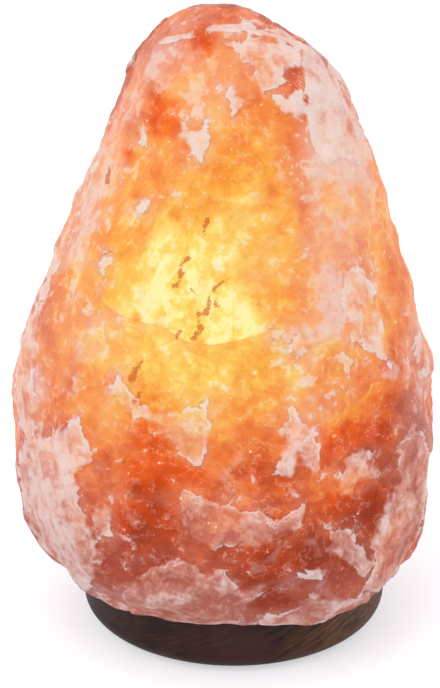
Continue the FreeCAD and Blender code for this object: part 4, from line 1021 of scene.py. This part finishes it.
@dataclass
class SaltRock:
    """The hewn rock of salt: a lump with facets, scallops and raised crust, hollow below.

    Sizes with MM are in metres and the others in millimetres; angles are in degrees round
    the axis from the front.
    """

    seed: int = 7
    rough_voxel: float = 3.0 * MM
    fine_voxel: float = 1.15 * MM
    smoothing: float = 0.5
    smoothings: int = 3
    merged: float = 0.001 * MM
    hollow_reach: float = 40.0 * MM
    hollow_top: float = 150.0 * MM
    hollow_radius: float = 22.0 * MM
    hollow_straight: float = 104.0 * MM
    dome_steps: int = 12
    hollow_sides: int = 72
    plug_radius: float = 4.0 * MM
    plug_circle: float = 33.0 * MM
    plug_gap: float = 0.15 * MM
    plug_sides: int = 32
    plug_count: int = 3
    skirt: float = 5.0 * MM
    box_gap: float = 0.1 * MM
    wall_depth: float = 0.5
    crust_rise: float = 0.9
    crust_step: tuple[float, float] = (0.44, 0.58)
    window_sink: float = 0.9
    sharp_step: float = 0.03
    soft_step: float = 0.9
    window_fade: float = 16.0
    window_ends: tuple[float, float] = (-6.0, 2.0)
    front_ends: tuple[float, float] = (82.0, 98.0)
    side_from: tuple[float, float] = (55.0, 88.0)
    side_to: tuple[float, float] = (96.0, 130.0)
    back_crust: float = 0.44
    back_patches: float = 1.2
    back_rise: float = 0.0012
    back_white: float = 0.5
    back_haze: float = 0.2
    back_mottle: float = 0.3
    haze: float = 0.14
    haze_swing: float = 0.2
    ember_clears: float = 0.8
    hollow_crust: float = 0.3
    cloud_width: float = 24.0
    patch_width: float = 26.0
    patch_start: tuple[float, float, float] = (5.3, 2.2, 7.9)
    ember_reach: float = 8.0
    ember_edge: tuple[float, float] = (-2.5, 2.0)
    white_edge: tuple[float, float] = (-6.0, -1.0)
    ember_depth: float = 0.85
    flaw_reach: float = 1.5
    relief_rounds: int = 30
    facing_rounds: int = 10
    relief_span: float = 0.8
    facet_tone: float = 0.16
    facet_scale: float = 1.9
    facet_start: tuple[float, float, float] = (4.1, 0.3, 2.7)
    axis: tuple[float, float] = (0.0, 0.0)
    finish: HewnRockSalt = HewnRockSalt()
    # Falloffs of the painted glow: on the front, at the back, on the sides and inside the hollow.
    front_glow: Falloff = Falloff(1.0, -5.0, 133.0, 95.0, upwards=0.74)
    back_glow: Falloff = Falloff(0.86, 0.0, 118.0, 105.0, 0.9, 0.75, 0.75)
    side_glow: Falloff = Falloff(0.56, 0.0, 112.0, 200.0, sideways=0.0)
    hollow_glow: Falloff = Falloff(0.95, 0.0, 95.0, 220.0, sideways=0.0)
    cloudiness: float = 0.1
    scallops: Scallops = Scallops()
    # Spots that raise or lower the painted glow on the front.
    glow_spots: tuple[Spot, ...] = (
        Spot(-11, 136, 12, 9, 0.32), Spot(5, 131, 10, 6, 0.2), Spot(-28, 148, 14, 14, 0.06),
        Spot(12, 150, 12, 14, -0.2), Spot(4, 106, 16, 9, -0.1), Spot(-50, 140, 12, 14, 0.12),
        Spot(60, 44, 14, 22, 0.28), Spot(14, 52, 22, 8, 0.06), Spot(34, 34, 20, 12, 0.08),
        Spot(-62, 80, 14, 36, 0.14), Spot(62, 125, 10, 25, 0.14),
        Spot(-38, 178, 9, 30, 0.12, 18), Spot(-20, 199, 13, 12, 0.12),
        Spot(0, 218, 30, 8, 0.1), Spot(36, 160, 8, 26, 0.18), Spot(46, 98, 14, 10, 0.14),
        Spot(38, 72, 13, 11, 0.2), Spot(-2, 74, 16, 8, -0.1), Spot(44, 190, 10, 20, 0.12),
        Spot(14, 182, 16, 24, 0.06), Spot(-20, 92, 16, 14, -0.1), Spot(-24, 62, 16, 14, -0.1),
        Spot(30, 110, 16, 12, 0.06), Spot(52, 150, 9, 28, 0.22), Spot(12, 86, 16, 10, -0.06),
        Spot(5, 148, 14, 8, -0.05),
    )
    # The tall spots at the far left and right, near 66 mm out, add a painted sheen along the
    # rock's edges.
    haze_spots: tuple[Spot, ...] = (
        Spot(-50, 160, 9, 26, 0.7, 20), Spot(35, 162, 8, 30, 1.25), Spot(30, 132, 14, 6, 0.85),
        Spot(-25, 208, 15, 12, 0.6), Spot(-38, 184, 6, 24, 0.55, 20),
        Spot(46, 168, 6, 18, 0.9), Spot(-44, 122, 14, 14, 0.35), Spot(-66, 100, 8, 30, 0.6),
        Spot(68, 95, 7, 34, 0.5), Spot(4, 212, 22, 9, 0.4), Spot(26, 100, 10, 14, 0.25),
        Spot(-6, 68, 24, 6, 0.1), Spot(-12, 186, 12, 10, 0.1), Spot(-30, 30, 40, 10, 0.2),
        Spot(56, 150, 8, 20, 0.3), Spot(0, 32, 46, 10, 0.25),
    )
    white_spots: tuple[Spot, ...] = (Spot(38, 208, 12, 13, 0.6), Spot(-60, 60, 14, 30, 0.2))
    streaky_spots: tuple[Spot, ...] = (
        Spot(-30, 165, 26, 34, 1.0), Spot(52, 140, 12, 34, 0.9), Spot(-50, 120, 16, 24, 0.6),
        Spot(-5, 205, 20, 16, 0.4),
    )

    def build(self) -> bpy.types.Object:
        """Builds the rock, dresses it and puts it in place of the plain one.

        Returns:
            The finished object.
        """
        low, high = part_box("salt_crystal")
        base_low, base_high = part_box("wood_base")
        self.axis = ((base_low[0] + base_high[0]) / 2, (base_low[1] + base_high[1]) / 2)
        mesh = self.remeshed(self.closed_lump())
        self.hew(mesh, low, high)
        rock = self.hollowed(mesh, low[2])
        self.dress(rock)
        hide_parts("salt_crystal")
        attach(rock, "lamp")
        return rock

    def dress(self, rock: bpy.types.Object) -> None:
        """Stores the fields on the rock's mesh and gives it its finish."""
        self.store_fields(rock.data)
        rock.data.shade_smooth()
        rock.data.materials.clear()
        rock.data.materials.append(self.finish.make())

    def closed_lump(self) -> bpy.types.Mesh:
        """Copies the plain rock without its hollow and plug holes, with a skirt below it."""
        shell = bmesh.new()
        shell.from_mesh(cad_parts["salt_crystal"].data)
        bmesh.ops.remove_doubles(shell, verts=shell.verts, dist=self.merged)
        inner = [
            v for v in shell.verts
            if v.co.z < self.hollow_top
            and math.hypot(v.co.x - self.axis[0], v.co.y - self.axis[1]) < self.hollow_reach
        ]
        bmesh.ops.delete(shell, geom=inner, context="VERTS")
        rim = [e for e in shell.edges if e.is_boundary]
        grown = bmesh.ops.extrude_edge_only(shell, edges=rim)["geom"]
        lowered = [item for item in grown if isinstance(item, bmesh.types.BMVert)]
        bmesh.ops.translate(shell, vec=(0.0, 0.0, -self.skirt), verts=lowered)
        bmesh.ops.holes_fill(shell, edges=[e for e in shell.edges if e.is_boundary], sides=0)
        bmesh.ops.recalc_face_normals(shell, faces=shell.faces)
        mesh = bpy.data.meshes.new("rock_lump")
        shell.to_mesh(mesh)
        shell.free()
        return mesh

    def remeshed(self, lump: bpy.types.Mesh) -> bpy.types.Mesh:
        """Rounds the arrises of the lump's facets a little and gives it an even, fine mesh."""
        draft = linked_object("rock_draft", lump)
        coarse = draft.modifiers.new("even", "REMESH")
        coarse.mode = "VOXEL"
        coarse.voxel_size = self.rough_voxel
        soften = draft.modifiers.new("soften", "SMOOTH")
        soften.factor = self.smoothing
        soften.iterations = self.smoothings
        fine = draft.modifiers.new("fine", "REMESH")
        fine.mode = "VOXEL"
        fine.voxel_size = self.fine_voxel
        mesh = applied_mesh(draft)
        bpy.data.objects.remove(draft)
        bpy.data.meshes.remove(lump)
        return mesh

    def hew(self, mesh: bpy.types.Mesh, low: Vector, high: Vector) -> None:
        """Works scallops, roughness and raised crust into the fine mesh.

        Args:
            mesh: the fine mesh, changed in place.
            low: lowest corner of the plain rock.
            high: its highest corner.
        """
        places, normals = self.places_and_normals(mesh)
        # noise_vector follows the random state; a fixed one gives the same rock each run.
        noise.seed_set(self.seed)
        hollows = np.array([self.scallops.height(Vector(place)) for place in places])
        hollows -= np.mean(hollows)
        fields = self.fields_at(places)
        crust = smoothstep(*self.crust_step, fields["crust"]) * self.crust_rise
        # The lit window lies deeper than what is below it, with a step at its crisp edge.
        spread = self.sharp_step + self.soft_step * (1.0 - fields["sill"])
        ledge = 1.0 - smoothstep(0.5 - spread, 0.5 + spread, fields["window"])
        ledge *= fields["front"] * self.window_sink
        shift = hollows + crust + ledge - self.window_sink
        places += normals * shift[:, None]
        margin = self.box_gap / MM
        lowest = np.array(low) / MM + margin
        lowest[2] = -np.inf
        places = np.clip(places, lowest, np.array(high) / MM - margin)
        mesh.vertices.foreach_set("co", (places * MM).ravel())
        mesh.update()

    def places_and_normals(self, mesh: bpy.types.Mesh) -> tuple[np.ndarray, np.ndarray]:
        """Returns the mesh's vertices in millimetres and their normals."""
        found = []
        for name in ("co", "normal"):
            values = np.empty(len(mesh.vertices) * 3, np.float32)
            mesh.vertices.foreach_get(name, values)
            found.append(values.reshape(-1, 3).astype(float))
        return found[0] / MM, found[1]

    def hollowed(self, mesh: bpy.types.Mesh, seat: float) -> bpy.types.Object:
        """Cuts the seat flat and carves the hollow and the plug holes.

        Args:
            mesh: the hewn lump with its skirt.
            seat: height of the flat face that rests on the base.

        Returns:
            The hollow rock as an object at the origin.
        """
        lump = bmesh.new()
        lump.from_mesh(mesh)
        cut = bmesh.ops.bisect_plane(
            lump, geom=lump.verts[:] + lump.edges[:] + lump.faces[:],
            plane_co=(0.0, 0.0, seat), plane_no=(0.0, 0.0, 1.0), clear_inner=True,
        )["geom_cut"]
        edges = [item for item in cut if isinstance(item, bmesh.types.BMEdge)]
        bmesh.ops.holes_fill(lump, edges=edges, sides=0)
        bmesh.ops.recalc_face_normals(lump, faces=lump.faces)
        lump.to_mesh(mesh)
        lump.free()
        rock = linked_object("salt_rock", mesh)
        tool = linked_object("hollow_tool", self.hollow_tool(seat))
        carve = rock.modifiers.new("carve", "BOOLEAN")
        carve.operation = "DIFFERENCE"
        carve.solver = "EXACT"
        carve.object = tool
        carved = applied_mesh(rock)
        rock.modifiers.clear()
        rock.data = carved
        bpy.data.objects.remove(tool)
        return rock

    def hollow_tool(self, seat: float) -> bpy.types.Mesh:
        """Makes the body that the hollow and the plug holes are carved with."""
        body = bmesh.new()
        start, top = seat - self.skirt, seat + self.hollow_straight
        radius = self.hollow_radius
        profile = [Vector((0.0, 0.0, start)), Vector((radius, 0.0, start)),
                   Vector((radius, 0.0, top))]
        for step in range(1, self.dome_steps + 1):
            turn = math.radians(90.0 * step / self.dome_steps)
            profile.append(Vector((radius * math.cos(turn), 0.0, top + radius * math.sin(turn))))
        verts = [body.verts.new(point) for point in profile]
        edges = [body.edges.new(pair) for pair in zip(verts, verts[1:])]
        bmesh.ops.spin(
            body, geom=verts + edges, cent=(0.0, 0.0, 0.0), axis=(0.0, 0.0, 1.0),
            angle=math.tau, steps=self.hollow_sides, use_merge=True,
        )
        bmesh.ops.remove_doubles(body, verts=body.verts, dist=self.merged)
        bmesh.ops.translate(body, vec=(self.axis[0], self.axis[1], 0.0), verts=body.verts)
        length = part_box("wall_plugs")[1][2] - start + self.plug_gap
        for index in range(self.plug_count):
            turn = math.tau * index / self.plug_count - math.pi / 2
            middle = Matrix.Translation((
                self.axis[0] + self.plug_circle * math.cos(turn),
                self.axis[1] + self.plug_circle * math.sin(turn),
                start + length / 2,
            ))
            bmesh.ops.create_cone(
                body, cap_ends=True, segments=self.plug_sides, depth=length, matrix=middle,
                radius1=self.plug_radius + self.plug_gap,
                radius2=self.plug_radius + self.plug_gap,
            )
        bmesh.ops.recalc_face_normals(body, faces=body.faces)
        mesh = bpy.data.meshes.new("hollow_tool")
        body.to_mesh(mesh)
        body.free()
        return mesh

    def fields_at(self, places: np.ndarray) -> dict[str, np.ndarray]:
        """Works out the fields that the finish reads.

        Args:
            places: points on the rock, in millimetres.

        Returns:
            For each field its value, from 0 to 1, at each point; with them front, which is
            how far a point belongs to the front, and sill, which fades past the ends of
            the window.
        """
        axis = np.array(self.axis) / MM
        across, up = places[:, 0], places[:, 2]
        forward = -(places[:, 1] - axis[1])
        angle = np.degrees(np.abs(np.arctan2(across - axis[0], forward)))
        front = 1.0 - smoothstep(*self.front_ends, angle)
        inner = np.hypot(across - axis[0], forward) < self.hollow_radius / MM + self.wall_depth
        inner &= up < self.hollow_top / MM
        cloud = clouds(places, self.cloud_width, 0.9, 4)
        patch = clouds(places, self.patch_width, 1.0, 3, self.patch_start)
        drawn, white, ember = self.drawn_crust(across, up)
        free = self.back_crust + self.back_patches * patch - self.back_rise * (up - 120.0)

        # The painted glow, standing in for the bulb's light through the salt.
        glow = self.front_glow.at(across, up) + total(self.glow_spots, across, up)
        sideways = smoothstep(*self.side_from, angle)
        sideways *= 1.0 - smoothstep(*self.side_to, angle)
        lit = front * glow + (1.0 - front) * self.back_glow.at(across, up)
        lit = np.maximum(lit, self.side_glow.at(across, up) * sideways)
        lit += self.cloudiness * cloud
        lit = np.where(inner, self.hollow_glow.at(across, up), lit)

        white = front * (white + total(self.white_spots, across, up))
        white += (1.0 - front) * (self.back_white + self.back_mottle * cloud)
        streaky = front * total(self.streaky_spots, across, up)
        streaky += (1.0 - front) * smoothstep(-0.1, 0.3, cloud)
        haze = self.haze + self.haze_swing * cloud
        haze += front * total(self.haze_spots, across, up)
        haze = haze * (1.0 - self.ember_clears * ember) + (1.0 - front) * self.back_haze
        edge = np.interp(across, *np.array(WINDOW_EDGE).T)
        beyond = np.maximum(WINDOW_EDGE[0][0] - across, across - WINDOW_EDGE[-1][0])
        window = 0.5 + (up - edge) / self.window_fade
        sill = 1.0 - smoothstep(*self.window_ends, beyond)
        speck = np.zeros(len(places))
        for flaw in FLAWS:
            near = 1.0 - gap_to_path(across, up, flaw.path) / (flaw.half_width + self.flaw_reach)
            speck = np.maximum(speck, front * flaw.strength * np.clip(near, 0.0, 1.0))
        return {
            "crust": np.where(inner, self.hollow_crust, front * drawn + (1.0 - front) * free),
            "glow": lit, "white": white, "haze": np.where(inner, 0.0, haze),
            "streaky": streaky, "ember": ember * front * self.ember_depth, "speck": speck,
            "window": window, "held": front * sill * np.clip(2.0 * window, 0.0, 1.0),
            "sill": sill, "front": front,
        }

    def drawn_crust(
        self, across: np.ndarray, up: np.ndarray,
    ) -> tuple[np.ndarray, np.ndarray, np.ndarray]:
        """Places the drawn patches of crust and the clear windows between them.

        Args:
            across: the points' places along X, in millimetres.
            up: their heights.

        Returns:
            The crust, which is more than a half inside a patch, its whiteness, and the
            share of ember in the windows.
        """
        crust, white, ember = (np.zeros(len(across)) for _ in range(3))
        for patch in CRUST.values():
            depth = depth_inside(across, up, patch.edge)
            crust = np.maximum(crust, 0.5 + depth / (2.0 * patch.reach))
            white = np.maximum(white, patch.white * smoothstep(*self.white_edge, depth))
        for outline in EMBERS.values():
            depth = depth_inside(across, up, outline)
            crust = np.minimum(crust, 0.5 - depth / self.ember_reach)
            ember = np.maximum(ember, smoothstep(*self.ember_edge, depth))
        return crust, white, ember

    def relief_of(self, mesh: bpy.types.Mesh) -> tuple[np.ndarray, np.ndarray]:
        """Works out where the surface stands proud, and how it faces on the whole.

        Args:
            mesh: the finished rock.

        Returns:
            How far, in millimetres, each vertex stands out of its surroundings, and the
            direction that the surface round it faces.
        """
        places, normals = self.places_and_normals(mesh)
        pairs = np.empty(len(mesh.edges) * 2, np.int32)
        mesh.edges.foreach_get("vertices", pairs)
        first, second = pairs.reshape(-1, 2).T
        count = np.bincount(pairs, minlength=len(places)).clip(1)[:, None]
        smooth, facing = places.copy(), normals.copy()
        for index in range(self.relief_rounds):
            for data in (smooth, facing) if index < self.facing_rounds else (smooth,):
                around = np.zeros_like(data)
                np.add.at(around, first, data[second])
                np.add.at(around, second, data[first])
                data[:] = 0.5 * data + 0.5 * around / count
        facing /= np.linalg.norm(facing, axis=1, keepdims=True).clip(1e-6)
        return np.einsum("ij,ij->i", places - smooth, normals), facing

    def store_fields(self, mesh: bpy.types.Mesh) -> None:
        """Stores the fields on the finished mesh for its material to read."""
        places, _ = self.places_and_normals(mesh)
        fields = self.fields_at(places)
        relief, facing = self.relief_of(mesh)
        # Each facet's painted glow and whiteness differ at random with the way it faces.
        start = Vector(self.facet_start)
        tone = np.array([noise.noise(self.facet_scale * Vector(way) + start) for way in facing])
        fields["glow"] = fields["glow"] + self.facet_tone * tone
        fields["white"] = fields["white"] - 2.0 * self.facet_tone * tone
        fields["ridge"] = 0.5 + 0.5 * relief / self.relief_span
        for name in FIELDS:
            layer = mesh.attributes.new(name, "FLOAT", "POINT")
            layer.data.foreach_set("value", np.clip(fields[name], 0.0, 1.0).astype(np.float32))


# ---------------------------------------------------------------- the other sub-assemblies


class Finish(Protocol):
    """Anything that makes a material."""

    def make(self) -> bpy.types.Material:
        """Makes the material."""


ZINC_STEEL = DrawnMetal("zinc_plated_pressed_steel", "CFCDC4", "A9A79D", 0.38, 0.4)


def dress(finish: Finish, *nodes: str) -> None:
    """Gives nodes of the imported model, whose shapes are right as they are, one finish."""
    material = finish.make()
    for name in nodes:
        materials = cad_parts[name].data.materials
        materials.clear()
        materials.append(material)
        LOG.info("dressed %s in %s", name, material.name)


@dataclass(frozen=True)
class WoodenBase:
    """The turned base under the rock, with its feet, and the screws and plugs that hold it."""

    wood: StainedMangoWood = StainedMangoWood()
    rubber: Moulded = Moulded("pressed_black_rubber", "1B1B1C", "2A2929", 0.78, 1.52, 0.3, 0.3)
    steel: DrawnMetal = ZINC_STEEL
    nylon: Moulded = Moulded("moulded_grey_nylon", "8E8E8B", "9C9B96", 0.5, 1.53, 0.4, 0.12)

    def dress(self) -> None:
        """Gives each piece its finish."""
        dress(self.wood, "wood_base")
        dress(self.rubber, "rubber_feet")
        dress(self.steel, "base_screws")
        dress(self.nylon, "wall_plugs")


@dataclass(frozen=True)
class LampHolder:
    """The holder that is pushed up into the rock, with what carries the current."""

    phenolic: Moulded = Moulded(
        "moulded_black_phenolic", "17171A", "232226", 0.38, 1.58, 0.35, 0.1,
    )
    steel: DrawnMetal = ZINC_STEEL
    brass: DrawnMetal = DrawnMetal("pressed_brass", "DDB768", "B08A46", 0.34, 0.3)

    def dress(self) -> None:
        """Gives each piece its finish."""
        dress(self.phenolic, "holder_body", "holder_cap")
        dress(self.steel, "cap_screws")
        dress(
            self.brass, "screw_shell", "centre_contact", "side_contact_strip",
            "terminal_screws",
        )


@dataclass(frozen=True)
class SpringClip:
    """The band round the holder, with the two spring wings that grip the base's bore."""

    spring: DrawnMetal = DrawnMetal("rolled_spring_steel", "C8C8CB", "9D9DA1", 0.32, 0.25)
    steel: DrawnMetal = ZINC_STEEL

    def dress(self) -> None:
        """Gives each piece its finish."""
        dress(self.spring, "clip_band", "clip_wing_left", "clip_wing_right")
        dress(self.steel, "clip_rivets")


@dataclass(frozen=True)
class Bulb:
    """The small tubular bulb with its screw cap."""

    glass: BlownGlass = BlownGlass()
    nickel: DrawnMetal = DrawnMetal("nickel_plated_rolled_brass", "D8D3C8", "B7B0A2", 0.24, 0.3)
    vitrite: Moulded = Moulded("cast_black_vitrite", "0E0E11", "17171B", 0.12, 1.55, 1.2, 0.03)
    solder: DrawnMetal = DrawnMetal("dipped_solder", "BFC0C2", "9A9B9D", 0.45, 0.6)
    wire: DrawnMetal = DrawnMetal("drawn_lead_wire", "8F8B86", "6E6A66", 0.4, 0.2)
    filament: DrawnMetal = DrawnMetal("hot_drawn_tungsten", "8F8B86", "6E6A66", 0.5, 0.1, 1.0)

    def dress(self) -> None:
        """Gives each piece its finish."""
        dress(self.glass, "bulb_envelope", "bulb_stem")
        dress(self.nickel, "bulb_cap")
        dress(self.vitrite, "bulb_cap_insulator")
        dress(self.solder, "bulb_contact_button")
        dress(self.wire, "bulb_lead_wires")
        dress(self.filament, "bulb_filament")


# ---------------------------------------------------------------- the studio


@dataclass
class PhotoCamera:
    """The camera at the photograph's place: in front of the lamp and a little above it."""

    aim: tuple[float, float, float] = (-1.25 * MM, 1.25 * MM, 103.0 * MM)
    elevation: float = 23.0
    distance: float = 0.9
    lens: float = 132.8
    sensor: float = 36.0

    def build(self) -> bpy.types.Object:
        """Makes the camera and sets it as the scene's own."""
        data = bpy.data.cameras.new("photo_camera")
        data.lens = self.lens
        data.sensor_width = self.sensor
        rise = math.radians(self.elevation)
        aim = Vector(self.aim)
        place = aim + self.distance * Vector((0.0, -math.cos(rise), math.sin(rise)))
        camera = aimed_object("photo_camera", data, place, aim)
        bpy.context.scene.camera = camera
        return camera


@dataclass
class Studio:
    """A plain white floor, a white surround and one large soft lamp overhead.

    surround is how much light the surround gives; the eye sees it as full white.
    """

    floor_half: float = 6.0
    surround: float = 0.92
    lamp_power: float = 11.0
    lamp_size: float = 1.6
    lamp_place: tuple[float, float, float] = (-0.7, -1.0, 1.7)

    def build(self) -> None:
        """Builds the floor, the surround and the lamp."""
        self.build_floor()
        self.build_surround()
        self.build_lamp()
        bpy.context.scene.view_settings.view_transform = "Standard"

    def build_floor(self) -> None:
        """Makes the floor that the lamp stands on."""
        sheet = bmesh.new()
        bmesh.ops.create_grid(sheet, x_segments=1, y_segments=1, size=self.floor_half)
        mesh = bpy.data.meshes.new("studio_floor")
        sheet.to_mesh(mesh)
        sheet.free()
        mesh.materials.append(StudioPaper().make())
        linked_object("studio_floor", mesh)

    def build_surround(self) -> None:
        """Makes the white surround."""
        world = bpy.data.worlds.new("white_surround")
        bpy.context.scene.world = world
        world.use_nodes = True
        world.node_tree.nodes.clear()
        put = partial(add_node, world.node_tree)
        strength = put(
            RANGE, None, {"Value": seen_directly(put), "To Min": self.surround, "To Max": 1.0},
        )
        sky = put("ShaderNodeBackground", None, {"Color": linear("FFFFFF"), "Strength": strength})
        put("ShaderNodeOutputWorld", None, {"Surface": sky})

    def build_lamp(self) -> None:
        """Hangs the soft lamp and turns it towards the object."""
        data = bpy.data.lights.new("soft_lamp", "AREA")
        data.energy = self.lamp_power
        data.size = self.lamp_size
        aimed_object("soft_lamp", data, Vector(self.lamp_place), Vector(PhotoCamera.aim))


def main() -> None:
    """Builds the studio and the lamp's sub-assemblies in order."""
    logging.basicConfig(level=logging.INFO, format="%(message)s")
    PhotoCamera().build()
    Studio().build()
    rock = SaltRock().build()
    LOG.info("built %s with %d faces", rock.name, len(rock.data.polygons))
    for assembly in (WoodenBase(), LampHolder(), SpringClip(), Bulb()):
        assembly.dress()


if __name__ == "__main__":
    main()
